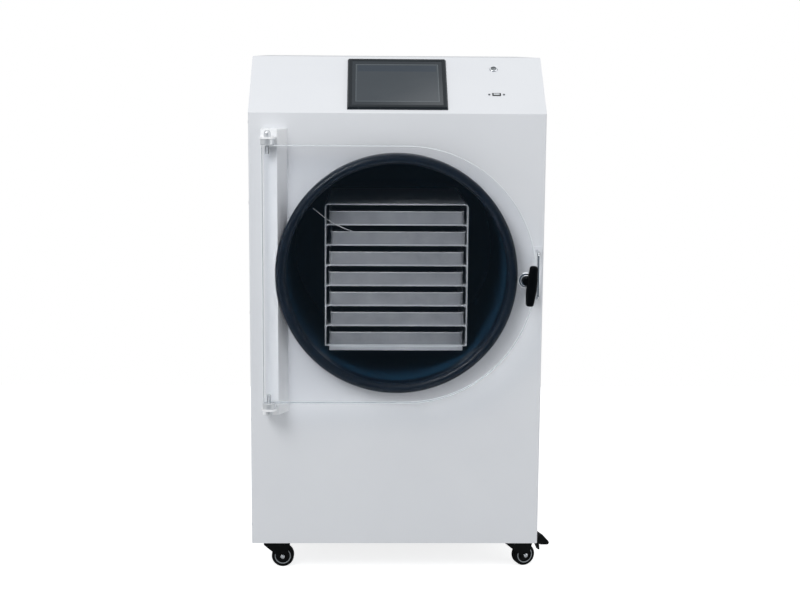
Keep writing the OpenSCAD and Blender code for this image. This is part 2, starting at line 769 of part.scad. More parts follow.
// D-shaped clear door with bored edges for the hinge pins and a hole for the latch bush
module door_panel() color("lightcyan", 0.35) difference() {
    union() {
        translate([(door_arc_offset - door_left) / 2, 0, 0])
            drawn_x(door_arc_offset + door_left) chamfered_side();
        translate([door_arc_offset, hinge_y, chamber_z]) rotate([90, 0, 0]) rotate([0, 0, -90])
            rotate_extrude(angle = 180, $fn = 128) intersection() {
                rotate(-90) translate([-hinge_y, -chamber_z]) chamfered_side();
                translate([0, -door_thickness]) square([door_height, 2 * door_thickness]);
            }
    }
    for (side = [0, 1]) translate([hinge_x, hinge_y, chamber_z]) mirror([0, 0, side])
        translate([0, 0, door_height / 2 - hinge_pin_depth - 1])
            cylinder(r = hinge_pin_radius + running_gap, h = hinge_pin_depth + 2);
    rod_y([latch_x, door_front_y - 1, latch_z], door_thickness + 2, bush_radius + fit_gap);
}

// The door's section: a rectangle in (y, z) with four chamfered corners
module chamfered_side() {
    y = [door_front_y, door_back_y];
    z = [chamber_z - door_height / 2, chamber_z + door_height / 2];
    c = door_chamfer;
    polygon([[y[0] + c, z[0]], [y[1] - c, z[0]], [y[1], z[0] + c], [y[1], z[1] - c],
             [y[1] - c, z[1]], [y[0] + c, z[1]], [y[0], z[1] - c], [y[0], z[0] + c]]);
}

// Folded post with a sloping side, notched round the gasket, and a lug at each end
module hinge_post() color("white") difference() {
    height = door_height + 2 * post_overlap;
    union() {
        translate([0, 0, chamber_z - height / 2]) linear_extrude(height) difference() {
            post_plan(0);
            post_plan(post_sheet);
        }
        for (z = [chamber_z - height / 2, chamber_z + height / 2 - post_sheet])
            translate([0, 0, z]) linear_extrude(post_sheet) post_plan(0);
        for (side = [0, 1]) translate([0, 0, chamber_z]) mirror([0, 0, side])
            translate([0, 0, lug_z]) linear_extrude(lug_thickness) {
                translate([hinge_x, hinge_y]) circle(r = lug_radius);
                translate([hinge_x - lug_radius, hinge_y])
                    square([2 * lug_radius, front_y - post_reach - hinge_y + post_sheet]);
            }
    }
    translate([hinge_x, hinge_y, chamber_z - height])
        cylinder(r = hinge_pin_radius + running_gap, h = 2 * height);
    rod_y([0, front_y - 2 * post_reach, chamber_z], 2 * post_reach, gasket_outer + notch_gap,
          $fn = 128);
}

// The post's plan, with its front and sides moved in by t
module post_plan(t) polygon([
    [post_left + t, front_y], [post_left + t, front_y - post_reach + t],
    [post_left + post_front - 0.6 * t, front_y - post_reach + t],
    [post_left + post_front + post_slope - 1.2 * t, front_y]]);

// Turned hinge pin: a stub in the door's edge, a collar against the lug and a domed end
module hinge_pin(side) color("gainsboro") translate([hinge_x, hinge_y, chamber_z])
    mirror([0, 0, side]) rotate_extrude() union() {
        translate([0, door_height / 2 - hinge_pin_depth])
            square([hinge_pin_radius, hinge_pin_depth + rest_gap + collar_height + lug_thickness + 1]);
        translate([0, door_height / 2 + rest_gap]) polygon([
            [0, 0], [collar_radius - 1, 0], [collar_radius, 1],
            [collar_radius, collar_height - 1], [collar_radius - 1, collar_height],
            [0, collar_height]]);
        translate([0, lug_z + lug_thickness]) {
            square([dome_radius, dome_radius]);
            translate([0, dome_radius]) intersection() {
                circle(r = dome_radius);
                square(dome_radius);
            }
        }
    }

// Chrome bush through the door: a stepped flange in front and a nut behind
module latch_boss() color("gainsboro") translate([latch_x, door_front_y, latch_z])
    rotate([90, 0, 0]) rotate_extrude() difference() {
        union() {
            polygon([[0, 0], [boss_radius, 0], [boss_radius, boss_height / 3],
                     [boss_radius - 2, boss_height / 2], [boss_radius - 5, boss_height / 2],
                     [boss_radius - 5, boss_height - 1], [boss_radius - 6, boss_height],
                     [0, boss_height]]);
            translate([0, -door_thickness - back_nut]) square([bush_radius, door_thickness + back_nut]);
            translate([0, -door_thickness - back_nut]) square([bush_radius + 4, back_nut]);
        }
        translate([-1, -2 * door_thickness])
            square([spindle_radius + running_gap + 1, 4 * door_thickness]);
    }

// Black lever: a hub on the spindle's front end, with the barrel-shaped grip beside it
module latch_lever() color([0.06, 0.06, 0.07]) translate([latch_x, grip_y, latch_z]) difference() {
    union() {
        rod_y([0, -grip_socket - 3, 0], grip_socket + 3, hub_radius);
        translate([grip_aside, -grip_standoff - grip_thickness / 2, -grip_below])
            rotate([0, grip_lean, 0]) hull() {
                for (end = [-1, 1]) grip_slice(end * (grip_length / 2 - grip_round), grip_end_width);
                for (end = [-1, 1]) grip_slice(end * grip_length / 8, grip_width);
            }
    }
    rod_y([0, -grip_socket, 0], grip_socket + 1, spindle_radius + running_gap);
}

// Four balls that round one cross-section of the grip
module grip_slice(z, width) for (x = [-1, 1], y = [-1, 1])
    translate([x * (width / 2 - grip_round), y * (grip_thickness / 2 - grip_round), z])
        sphere(r = grip_round, $fn = 24);

// Spindle with the flat tongue that turns in behind the strike rod
module latch_tongue() color("silver") translate([latch_x, 0, latch_z]) {
    rod_y([0, grip_y - grip_socket + fit_gap, 0],
          tongue_y + tongue_thickness - grip_y + grip_socket - fit_gap, spindle_radius);
    drawn_y(tongue_y, tongue_thickness) {
        circle(r = tongue_width / 2);
        translate([-tongue_width / 2, tongue_width / 2 - tongue_length])
            square([tongue_width, tongue_length - tongue_width / 2]);
        translate([0, tongue_width / 2 - tongue_length]) circle(r = tongue_width / 2);
    }
}

// Bent rod that stands off the front face beside the door
module strike_rod() color("gainsboro") translate([strike_x, 0, strike_z]) {
    leg = strike_height / 2 - strike_radius;
    translate([0, strike_y, strike_bend - leg])
        cylinder(r = strike_radius, h = 2 * (leg - strike_bend));
    for (side = [0, 1]) mirror([0, 0, side]) {
        translate([0, strike_y + strike_bend, leg - strike_bend]) rotate([0, -90, 0])
            rotate([0, 0, -90]) rotate_extrude(angle = 90)
                translate([strike_bend, 0]) circle(r = strike_radius, $fn = 32);
        rod_y([0, strike_y + strike_bend, leg], front_y + sheet - strike_y - strike_bend,
              strike_radius);
    }
}

// Flat plate that the strike rod's legs pass through
module strike_plate() color("white") difference() {
    drawn_y(plate_front_y, strike_plate_thickness)
        translate([strike_x, strike_z]) rounded_rect(strike_plate_width, strike_height + 14, 3);
    strike_holes(plate_front_y, strike_plate_thickness);
}

// Holes for the strike rod's legs through a sheet that starts at y
module strike_holes(y, thickness) for (side = [-1, 1])
    rod_y([strike_x, y - 1, strike_z + side * (strike_height / 2 - strike_radius)],
          thickness + 2, strike_radius + fit_gap);

// ---- Console ----

// Plate with four sloping edges, wide at its back
module chamfered_plate(w, h, t, slope) intersection() {
    rotate([90, 0, 0]) linear_extrude(2 * h, center = true)
        polygon([[-w / 2, 0], [slope - w / 2, t], [w / 2 - slope, t], [w / 2, 0]]);
    rotate([90, 0, 90]) linear_extrude(2 * w, center = true)
        polygon([[-h / 2, 0], [slope - h / 2, t], [h / 2 - slope, t], [h / 2, 0]]);
}

// Touch screen's bezel with the housing behind it
module screen_housing() color([0.13, 0.14, 0.15]) on_console(0, slope_middle) difference() {
    union() {
        chamfered_plate(screen_width, screen_height, bezel_height, 3);
        translate([0, 0, -housing_depth]) linear_extrude(housing_depth + 1)
            square([screen_cut_width - 1, screen_cut_height - 1], center = true);
    }
    translate([0, 0, bezel_height - glass_drop - glass_thickness]) linear_extrude(bezel_height)
        square([screen_width - 2 * bezel_frame, screen_height - 2 * bezel_frame], center = true);
}

// Glass of the touch screen, set into the bezel
module screen_glass() color([0.3, 0.33, 0.35]) on_console(0, slope_middle)
    translate([0, 0, bezel_height - glass_drop - glass_thickness]) linear_extrude(glass_thickness)
        square([screen_width - 2 * (bezel_frame + fit_gap),
                screen_height - 2 * (bezel_frame + fit_gap)], center = true);

// Push button's bezel and threaded shank
module button_body() color("silver") on_console(button_x, button_up) rotate_extrude() difference() {
    union() {
        polygon([[0, 0], [button_radius, 0], [button_radius, 1.2],
                 [button_radius - 1, 2.2], [0, 2.2]]);
        translate([0, -button_length]) square([button_shank - fit_gap, button_length]);
    }
    translate([-1, -button_length - 1])
        square([button_stem + running_gap + 1, button_length + 4]);
    translate([-1, -button_travel - 3])
        square([button_cap_radius + rest_gap + 1, button_travel + 6]);
}

// Push button's domed cap on its stem
module button_cap() color("darkgray") on_console(button_x, button_up) rotate_extrude() {
    polygon([[0, -2], [button_cap_radius, -2], [button_cap_radius, 1.4],
             [button_cap_radius - 0.8, 2.4], [0, 2.8]]);
    translate([0, 4 - button_length]) square([button_stem, button_length - 4]);
}

// Data socket with an open slot
module data_socket() color([0.1, 0.1, 0.11]) on_console(socket_x, socket_up) difference() {
    union() {
        linear_extrude(1.2) rounded_rect(socket_width, socket_height, 1);
        translate([0, 0, -20]) linear_extrude(21)
            square([socket_width - 5, socket_height - 2], center = true);
    }
    translate([0, 0, -16]) linear_extrude(20) square([12.5, 5], center = true);
}

// Pan-head screws beside the data socket, through the console sheet
module panel_screws() color("silver") for (side = [-1, 1])
    on_console(socket_x + side * socket_screw_reach, socket_up) rotate_extrude(convexity = 4)
        polygon([[0, 0], [2.6, 0], [2.4, 1.1], [1.2, 1.6], [0, 1.7]]);

// ---- Machinery ----

// Hermetic compressor: a domed pot on a mounting plate with four rubber feet
module compressor() color([0.12, 0.12, 0.13])
    translate([compressor_place.x, compressor_place.y, pan_top]) {
    r = compressor_radius;
    h = compressor_height;
    translate([0, 0, 22]) rotate_extrude() intersection() {
        union() {
            square([r, h - r / 2]);
            translate([0, h - 1.2 * r]) circle(r = 1.2 * r);
            translate([0, h / 2]) square([r + 4, 4]);
        }
        square([r + 4, h]);
    }
    translate([0, 0, 18]) linear_extrude(5) rounded_rect(2 * r + 10, 2 * r + 10, 12);
    for (x = [-1, 1], y = [-1, 1]) translate([x * (r - 8), y * (r - 8), 0]) cylinder(r = 10, h = 19);
}

// Condenser: a finned block between two end plates
module condenser() color("lightslategray") translate([fan_place.x, condenser_y, pan_top]) {
    for (x = [-1, 1]) translate([x * (fan_size / 2 - 1), condenser_depth / 2, fan_size / 2])
        cube([2, condenser_depth, fan_size], center = true);
    for (i = [0:24]) translate([0, condenser_depth / 2, 5 + i * (fan_size - 12) / 24])
        cube([fan_size, condenser_depth - 4, 3], center = true);
    for (i = [0:4]) translate([0, condenser_depth / 2, 25 + i * (fan_size - 50) / 4])
        rotate([0, 90, 0]) cylinder(r = tube_radius, h = fan_size + 12, center = true);
}

// Fan frame: a square duct with four struts that carry the motor
module fan_frame() color([0.1, 0.1, 0.1])
    translate([fan_place.x, back_y - sheet - fan_depth, fan_place.y]) {
        difference() {
            rotate([-90, 0, 0]) linear_extrude(fan_depth) rounded_rect(fan_size, fan_size, 8);
            rod_y([0, -1, 0], fan_depth + 2, fan_opening, $fn = 96);
        }
        for (turn = [0, 90]) rotate([0, turn, 0]) translate([0, fan_depth - 5, 0])
            cube([2 * fan_opening + 4, 6, 12], center = true);
        rod_y([0, fan_depth - 22, 0], 20, fan_hub + 2);
        rod_y([0, 12, 0], fan_depth - 30, 4);
    }

// Fan rotor: a hub with pitched blades
module fan_rotor() color("dimgray")
    translate([fan_place.x, back_y - sheet - fan_depth, fan_place.y]) difference() {
        intersection() {
            union() {
                rod_y([0, 8, 0], fan_depth - 32, fan_hub);
                for (i = [0:fan_blades - 1]) rotate([0, i * 360 / fan_blades, 0])
                    translate([0, fan_depth / 2 - 8, 0]) rotate([0, 0, 90]) rotate([35, 0, 0])
                        translate([-blade_chord / 2, -blade_thickness / 2, fan_hub - 6])
                            cube([blade_chord, blade_thickness, fan_opening]);
            }
            rod_y([0, 3, 0], fan_depth - 27, fan_opening - 4, $fn = 96);
        }
        rod_y([0, 0, 0], fan_depth, 4 + running_gap);
    }

// Control box on the inside of the back sheet
module control_box() color("lightgray")
    translate([-box_size.x / 2, back_y - sheet - box_size.y, box_bottom]) difference() {
        cube(box_size);
        for (i = [0:9]) translate([30 + i * 25, -1, box_size.z - 20]) cube([10, 3, 12]);
    }

// Vacuum port: a tube from the drum's dished back to a clamp flange outside
module vacuum_port() color("silver") translate([0, 0, chamber_z]) rotate([-90, 0, 0])
    rotate_extrude() difference() {
        start = front_y + dish_end - drum_wall - 2;
        union() {
            translate([0, start]) square([port_bore + port_wall, port_end - start]);
            polygon([[port_bore, port_end - 7], [port_flange, port_end - 3],
                     [port_flange, port_end], [port_bore, port_end]]);
        }
        translate([-1, start - 1]) square([port_bore + 1, port_end - start + 2]);
        translate([0, port_end - 3]) square([port_bore + 1.2, 4]);
    }

// Drain tube from the drum's lowest line to a hose tail behind the cabinet
module drain_outlet() color("silver") {
    start = chamber_z - drum_outer + 1;
    difference() {
        union() {
            translate([0, drain_y, drain_z]) cylinder(r = drain_radius, h = start - drain_z);
            translate([0, drain_y, drain_z]) sphere(r = 1.3 * drain_radius);
            rod_y([0, drain_y, drain_z], back_y + drain_reach - drain_y, drain_radius);
            rod_y([0, back_y + 2, drain_z], drain_reach - 2, drain_radius + 1);
        }
        translate([0, drain_y, drain_z]) cylinder(r = drain_radius - 1.5, h = start - drain_z + 1);
        rod_y([0, drain_y - 2, drain_z], back_y + drain_reach + 10 - drain_y, drain_radius - 1.5);
    }
}

// Appliance inlet with a recess for the plug and three blades
module power_inlet() color([0.1, 0.1, 0.1]) translate(inlet_place) {
    difference() {
        union() {
            drawn_y(0, 3) rounded_rect(inlet_body.x + 22, inlet_body.z + 8, 4);
            drawn_y(-inlet_body.y, inlet_body.y + 1)
                square([inlet_body.x, inlet_body.z], center = true);
        }
        drawn_y(3 - inlet_body.y, inlet_body.y + 1)
            square([inlet_body.x - 4, inlet_body.z - 4], center = true);
        for (x = [-1, 1]) rod_y([x * (inlet_body.x / 2 + 6), -1, 0], 6, 1.8);
    }
    for (place = [[-7, -2], [0, 3], [7, -2]]) translate([place.x, -inlet_body.y / 2, place.y])
        cube([2, inlet_body.y - 2, 4], center = true);
}

// ---- Casters ----

module at_caster(i) translate([CASTER_PLACES[i].x, CASTER_PLACES[i].y, 0]) children();
module at_fork(i) at_caster(i) rotate([0, 0, CASTER_TURN[i]]) children();

// A rod across the fork, through the given point of its side view
module cross_rod(x, z, r, length) translate([x, 0, z]) rotate([90, 0, 0])
    cylinder(r = r, h = length, center = true);

// Four mounting plates, each with its kingpin
module caster_plates() color([0.1, 0.1, 0.1]) for (i = [0:3]) at_caster(i) {
    difference() {
        translate([0, 0, base_z - plate_thickness]) linear_extrude(plate_thickness)
            rounded_rect(plate_size, plate_size, 5);
        for (x = [-1, 1], y = [-1, 1])
            translate([x * (plate_size / 2 - 8), y * (plate_size / 2 - 8),
                       base_z - 2 * plate_thickness])
                cylinder(r = 3, h = 3 * plate_thickness);
    }
    translate([0, 0, raceway_bottom - rest_gap - 1])
        cylinder(r = kingpin_radius, h = raceway_height + 3);
    translate([0, 0, raceway_bottom - rest_gap - 2]) cylinder(r = kingpin_radius + 3, h = 2);
}

// Swivel fork: raceway, hood, two raked cheeks and the riveted axle, with a pin for the brake
module caster_fork(i, braked) color([0.08, 0.08, 0.09]) at_fork(i) difference() {
    front = caster_trail + 16;
    back = -raceway_radius - 1;
    union() {
        translate([0, 0, raceway_bottom]) cylinder(r = raceway_radius, h = raceway_height);
        translate([back, -cheek_outside, raceway_top - cheek_thickness])
            cube([front - back, 2 * cheek_outside, cheek_thickness]);
        for (side = [0, 1]) mirror([0, side, 0]) drawn_y(cheek_inside, cheek_thickness) polygon([
            [back, raceway_top], [front, raceway_top], [front + 2, raceway_top - 12],
            [front, pedal_pivot.y - 8], [caster_trail + 8, wheel_radius - 3],
            [caster_trail + 4, wheel_radius - 7], [caster_trail - 4, wheel_radius - 7],
            [caster_trail - 9, wheel_radius - 1], [back, raceway_top - 17]]);
        cross_rod(caster_trail, wheel_radius, axle_radius, 2 * cheek_outside);
        cross_rod(caster_trail, wheel_radius, axle_radius + 1.5, 2 * cheek_outside + 3);
        if (braked) cross_rod(pedal_pivot.x, pedal_pivot.y, pedal_pin, 2 * cheek_outside + 2);
    }
    translate([0, 0, raceway_bottom - 1])
        cylinder(r = kingpin_radius + running_gap, h = raceway_height + 2);
    translate([caster_trail, 0, wheel_radius]) rotate([90, 0, 0]) difference() {
        cylinder(r = axle_radius + 3, h = 2 * cheek_inside, center = true);
        cylinder(r = axle_radius, h = 2 * cheek_inside + 2, center = true);
    }
}

// Wheel body: hub, web and the bright ring under the tyre
module caster_rim(i) color("darkgray") at_fork(i) translate([caster_trail, 0, wheel_radius])
    rotate([90, 0, 0]) rotate_extrude() difference() {
        half = wheel_width / 2;
        union() {
            translate([0, -half]) square([wheel_radius - tyre_depth, wheel_width]);
            translate([0, rest_gap - cheek_inside]) square([wheel_hub, 2 * (cheek_inside - rest_gap)]);
        }
        translate([-1, -2 * half]) square([axle_radius + running_gap + 1, 4 * half]);
        for (side = [-1, 1]) translate([wheel_hub, side * half - 3])
            square([wheel_radius - tyre_depth - wheel_hub - 2.5, 6]);
    }

// Tyre pressed on the rim, with round shoulders
module caster_tyre(i) color([0.05, 0.05, 0.05]) at_fork(i)
    translate([caster_trail, 0, wheel_radius]) rotate([90, 0, 0]) rotate_extrude() {
        half = wheel_width / 2;
        translate([wheel_radius - tyre_depth, 3 - half]) square([tyre_depth, wheel_width - 6]);
        translate([wheel_radius - tyre_depth, -half]) square([tyre_depth - 3, wheel_width]);
        for (side = [-1, 1]) translate([wheel_radius - 3, side * (half - 3)]) circle(r = 3);
    }

// Brake pedal: a bored barrel between the cheeks, a wedge-shaped pad and the release tab under it
module caster_pedal(i) color([0.06, 0.06, 0.07]) at_fork(i) translate([pedal_pivot.x, 0, pedal_pivot.y])
    difference() {
        between = 2 * (cheek_inside - rest_gap);
        union() {
            cross_rod(0, 0, 5, between);
            drawn_y(-between / 2, between) polygon([[0, 5], [22, 10], [22, -5], [2, -4.5]]);
            drawn_y(-pedal_width / 2, pedal_width) polygon([
                [18.5, 8], [28, 14.5], [33, 14.5], [49, -3], [51, -7], [50, -10], [47, -12],
                [29, -10], [18.5, -5]]);
            drawn_y(-6, 12) polygon([[19, -4], [29, -9], [31, -24], [28, -25]]);
        }
        cross_rod(0, 0, pedal_pin + running_gap, 2 * between);
    }

front_panel();
top_cover();
side_panel(-1);  // left_side_panel
side_panel(1);  // right_side_panel
back_panel();
base_pan();
inner_frame();
chamber_drum();
door_gasket();
drum_insulation();
refrigerant_pipes();
tray_rack();
rack_base_plate();
probe_wire();
probe_tip();
hinge_post();
hinge_pin(0);  // upper_hinge_pin
hinge_pin(1);  // lower_hinge_pin
door_panel();
latch_boss();
latch_lever();
latch_tongue();
strike_rod();
strike_plate();
screen_housing();
screen_glass();
button_body();
button_cap();
data_socket();
panel_screws();
compressor();
condenser();
fan_frame();
fan_rotor();
control_box();
vacuum_port();
drain_outlet();
power_inlet();
caster_plates();
for (i = [1:tray_count]) tray(i);
for (i = [0:3]) {
    caster_fork(i, i == BRAKED[0] || i == BRAKED[1]);
    caster_rim(i);
    caster_tyre(i);
}
for (i = BRAKED) caster_pedal(i);
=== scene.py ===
"""Finishes, fittings and studio for a floor-standing freeze dryer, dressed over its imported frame.

Lengths are in metres unless a name ends in _mm. +Z is up, +Y runs from the door to the back.
"""

import logging
import math
from dataclasses import dataclass
from enum import Enum
from typing import Any, Optional, Sequence

import bmesh
import bpy
from bmesh.types import BMesh
from bpy.types import Material, Mesh, Node, NodeSocket, NodeTree, Object
from mathutils import Matrix, Vector, geometry


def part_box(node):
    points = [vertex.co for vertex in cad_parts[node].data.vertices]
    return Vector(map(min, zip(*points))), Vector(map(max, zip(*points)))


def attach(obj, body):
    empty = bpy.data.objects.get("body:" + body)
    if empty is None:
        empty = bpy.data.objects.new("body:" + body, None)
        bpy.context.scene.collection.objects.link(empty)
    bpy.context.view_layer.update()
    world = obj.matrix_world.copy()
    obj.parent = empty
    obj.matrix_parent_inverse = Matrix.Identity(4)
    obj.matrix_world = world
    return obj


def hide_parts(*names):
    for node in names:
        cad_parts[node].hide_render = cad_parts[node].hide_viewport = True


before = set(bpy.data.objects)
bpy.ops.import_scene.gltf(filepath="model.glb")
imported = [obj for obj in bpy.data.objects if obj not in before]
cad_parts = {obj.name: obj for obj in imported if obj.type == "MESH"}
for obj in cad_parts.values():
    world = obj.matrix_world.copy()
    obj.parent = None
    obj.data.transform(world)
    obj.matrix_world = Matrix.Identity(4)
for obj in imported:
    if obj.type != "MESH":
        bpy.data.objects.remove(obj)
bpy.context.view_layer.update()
NODES: dict[str, Object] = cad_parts

MM = 0.001
CASTERS = ("front_left", "front_right", "rear_left", "rear_right")
TRAYS = tuple(f"tray_{i}" for i in range(1, 8))
# What a lamp's light keeps when it crosses the acrylic sheet
LAMP_TINT = "#F1F3F5"

Triple = tuple[float, float, float]
Profile = Sequence[tuple[float, float]]

log = logging.getLogger("freeze_dryer")


# ---- Small helpers ----

def linear(colour: str) -> tuple[float, float, float, float]:
    """Turns an sRGB hex colour into linear RGBA.

    Args:
        colour: Six hex digits after a hash sign.

    Returns:
        Red, green, blue and an alpha of 1, in linear light.
    """
    shares = [int(colour[i:i + 2], 16) / 255 for i in (1, 3, 5)]
    return tuple(c / 12.92 if c <= 0.04045 else ((c + 0.055) / 1.055) ** 2.4
                 for c in shares) + (1.0,)


def add(tree: NodeTree, kind: str, values: Optional[dict[Any, Any]] = None) -> Node:
    """Adds one node to a shader or geometry tree.

    Args:
        tree: The tree that gets the node.
        kind: The node's type name, less the prefix ShaderNode or GeometryNode.
        values: Its properties by name, and its inputs by name or number: a start value, or a
            socket or a node (for its first output) to join to it.

    Returns:
        The new node.
    """
    prefix = "ShaderNode" if tree.type == "SHADER" else "GeometryNode"
    node = tree.nodes.new(kind if kind.startswith(("Node", "Function")) else prefix + kind)
    for key, value in (values or {}).items():
        if isinstance(value, Node):
            value = value.outputs[0]
        if isinstance(value, NodeSocket):
            tree.links.new(value, node.inputs[key])
        elif isinstance(key, int) or key in node.inputs:
            node.inputs[key].default_value = value
        else:
            setattr(node, key, value)
    return node


def maths(tree: NodeTree, operation: str, *terms: Any) -> Node:
    """Adds one sum on numbers, sockets or nodes to a shader tree and returns its node."""
    return add(tree, "Math", {"operation": operation, **dict(enumerate(terms))})


def centre(node: str) -> Vector:
    """Returns the middle of a CAD node's box at rest."""
    low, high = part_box(node)
    return (Vector(low) + Vector(high)) / 2


def slope() -> float:
    """Returns how far the console leans back, from the screen's glass."""
    low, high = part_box("screen_glass")
    return math.atan2(high[2] - low[2], high[1] - low[1])


def metres(profile_mm: Profile) -> list[tuple[float, float]]:
    """Returns a profile in metres."""
    return [(radius * MM, along * MM) for radius, along in profile_mm]


def place_object(name: str, data: Any) -> Object:
    """Puts a new object at the scene's origin.

    Args:
        name: Its name.
        data: Its mesh, lamp or camera.

    Returns:
        The object.
    """
    thing = bpy.data.objects.new(name, data)
    bpy.context.scene.collection.objects.link(thing)
    log.info("placed %s", name)
    return thing


def empty_tree(owner: Any) -> NodeTree:
    """Switches a material or a world to nodes.

    Args:
        owner: The material or the world.

    Returns:
        Its emptied tree.
    """
    owner.use_nodes = True
    owner.node_tree.nodes.clear()
    return owner.node_tree


def mesh_piece(name: str, shape: BMesh, material: Material, smooth: bool = False) -> Object:
    """Makes an object at the origin from a bmesh, and frees the bmesh.

    Args:
        name: Name of the new piece.
        shape: Its mesh, already in place.
        material: Its finish.
        smooth: True to shade it smooth.

    Returns:
        The new object.
    """
    mesh = bpy.data.meshes.new(name)
    shape.to_mesh(mesh)
    shape.free()
    mesh.materials.append(material)
    mesh.polygons.foreach_set("use_smooth", [smooth] * len(mesh.polygons))
    return place_object(name, mesh)


def bake(thing: Object, modifier: bpy.types.Modifier) -> Mesh:
    """Takes a modifier off an object and returns the mesh that it made."""
    mesh = bpy.data.meshes.new_from_object(
        thing.evaluated_get(bpy.context.evaluated_depsgraph_get()))
    thing.modifiers.remove(modifier)
    return mesh


def add_block(shape: BMesh, size: Sequence[float], place: Matrix = Matrix()) -> None:
    """Adds a box to a bmesh, with its lengths along the axes of the frame at its middle."""
    bmesh.ops.create_cube(shape, size=1.0, matrix=place @ Matrix.Diagonal((*size, 1.0)))


def round_edges(shape: BMesh, radius: float) -> None:
    """Rounds every edge of a bmesh."""
    bmesh.ops.bevel(shape, geom=shape.edges[:], offset=radius, segments=2, affect="EDGES")


def loft(shape: BMesh, rings: Sequence[Sequence[Vector]], ends: bool = True) -> None:
    """Joins rings of corners into a tube.

    Args:
        shape: The bmesh that gets the tube.
        rings: The corners round it, from one end to the other. One corner alone makes a tip.
        ends: True to close both ends.
    """
    rounds = [[shape.verts.new(corner) for corner in ring] for ring in rings]
    for lower, upper in zip(rounds, rounds[1:]):
        for k in range(max(len(lower), len(upper))):
            corners = [lower[k % len(lower)], lower[(k + 1) % len(lower)],
                       upper[(k + 1) % len(upper)], upper[k % len(upper)]]
            shape.faces.new(list(dict.fromkeys(corners)))
    for ring in (rounds[0], rounds[-1]) if ends else ():
        shape.faces.new(ring)
    bmesh.ops.recalc_face_normals(shape, faces=shape.faces)


def revolve(shape: BMesh, profile: Profile, place: Vector, axis: Vector, steps: int) -> None:
    """Adds a turned form to a bmesh.

    Args:
        shape: The bmesh that gets the form.
        profile: (radius, distance along the axis) points in order.
        place: Where the axis starts.
        axis: Its direction.
        steps: Number of faces round it.
    """
    turn = axis.normalized().to_track_quat("Z", "Y").to_matrix()
    spin = [2 * math.pi * k / steps for k in range(steps)]
    rings = [[place + turn @ Vector((radius * math.cos(angle), radius * math.sin(angle), along))
              for angle in (spin if radius > 0 else [0.0])] for radius, along in profile]
    loft(shape, rings, ends=False)


# ---- Finishes ----

class Grain(Enum):
    """How much the fine relief of a surface is stretched along X, Y and Z."""
    EVEN = (1.0, 1.0, 1.0)
    BRUSHED_X = (0.03, 1.0, 1.0)
    BRUSHED_Y = (1.0, 0.03, 1.0)
    DRAWN = (0.6, 0.6, 0.08)


@dataclass(frozen=True)
class Finish:
    """A surface finish: two close colours in slow clouds, and a fine relief that bends its
    gloss."""
    name: str
    colour: str
    shade: str
    roughness: float = 0.4
    spread: float = 0.05
    metallic: float = 0.0
    ior: float = 1.5
    cloud_mm: float = 60.0
    grain: Grain = Grain.EVEN
    grain_mm: float = 2.0
    depth_mm: float = 0.01
    specular: float = 0.5
    bump: float = 1.0
    lets_light: bool = False

    def relief(self, tree: NodeTree, place: NodeSocket) -> tuple[Node, Node]:
        """Adds the fine relief.

        Args:
            tree: The material's tree.
            place: The piece's own coordinates.

        Returns:
            A height between 0 and 1, and the normals that it bends.
        """
        stretched = add(tree, "Mapping", {"Scale": self.grain.value, "Vector": place})
        height = add(tree, "TexNoise", {
            "Scale": 1 / (self.grain_mm * MM), "Detail": 2.0, "Vector": stretched})
        return height, add(tree, "Bump", {
            "Strength": self.bump, "Distance": self.depth_mm * MM, "Height": height})

    def tint(self, tree: NodeTree, place: NodeSocket) -> NodeSocket:
        """Adds the slow clouds between the two colours and returns the colour."""
        clouds = add(tree, "TexNoise", {
            "Scale": 1 / (self.cloud_mm * MM), "Detail": 3.0, "Vector": place})
        return add(tree, "Mix", {"data_type": "RGBA", 6: linear(self.colour),
                                 7: linear(self.shade), 0: clouds}).outputs[2]

    def shader(self, tree: NodeTree) -> Node:
        """Adds the whole surface.

        Args:
            tree: The material's tree.

        Returns:
            Its shader node.
        """
        place = add(tree, "TexCoord").outputs["Object"]
        height, normal = self.relief(tree, place)
        gloss = add(tree, "MapRange", {
            "To Min": self.roughness - self.spread, "To Max": self.roughness + self.spread,
            "Value": height})
        return add(tree, "BsdfPrincipled", {
            "Metallic": self.metallic, "IOR": self.ior, "Specular IOR Level": self.specular,
            "Base Color": self.tint(tree, place), "Roughness": gloss, "Normal": normal})

    def build(self) -> Material:
        """Builds the finish's material, and keeps a see-through one from casting a black shadow.

        Returns:
            The material.
        """
        material = bpy.data.materials.new(self.name)
        tree = empty_tree(material)
        surface = self.shader(tree)
        if self.lets_light:
            surface = add(tree, "MixShader", {
                0: add(tree, "LightPath").outputs["Is Shadow Ray"], 1: surface,
                2: add(tree, "BsdfTransparent", {"Color": linear(LAMP_TINT)})})
        add(tree, "OutputMaterial", {"Surface": surface})
        return material


@dataclass(frozen=True)
class ClearAcrylic(Finish):
    """Cast PMMA sheet: it bends light little and mirrors the room faintly."""

    def shader(self, tree: NodeTree) -> Node:
        """Adds the clear plastic and returns its shader node."""
        _, normal = self.relief(tree, add(tree, "TexCoord").outputs["Object"])
        return add(tree, "BsdfPrincipled", {
            "Base Color": linear(self.colour), "Roughness": self.roughness, "IOR": self.ior,
            "Transmission Weight": 1.0, "Normal": normal})


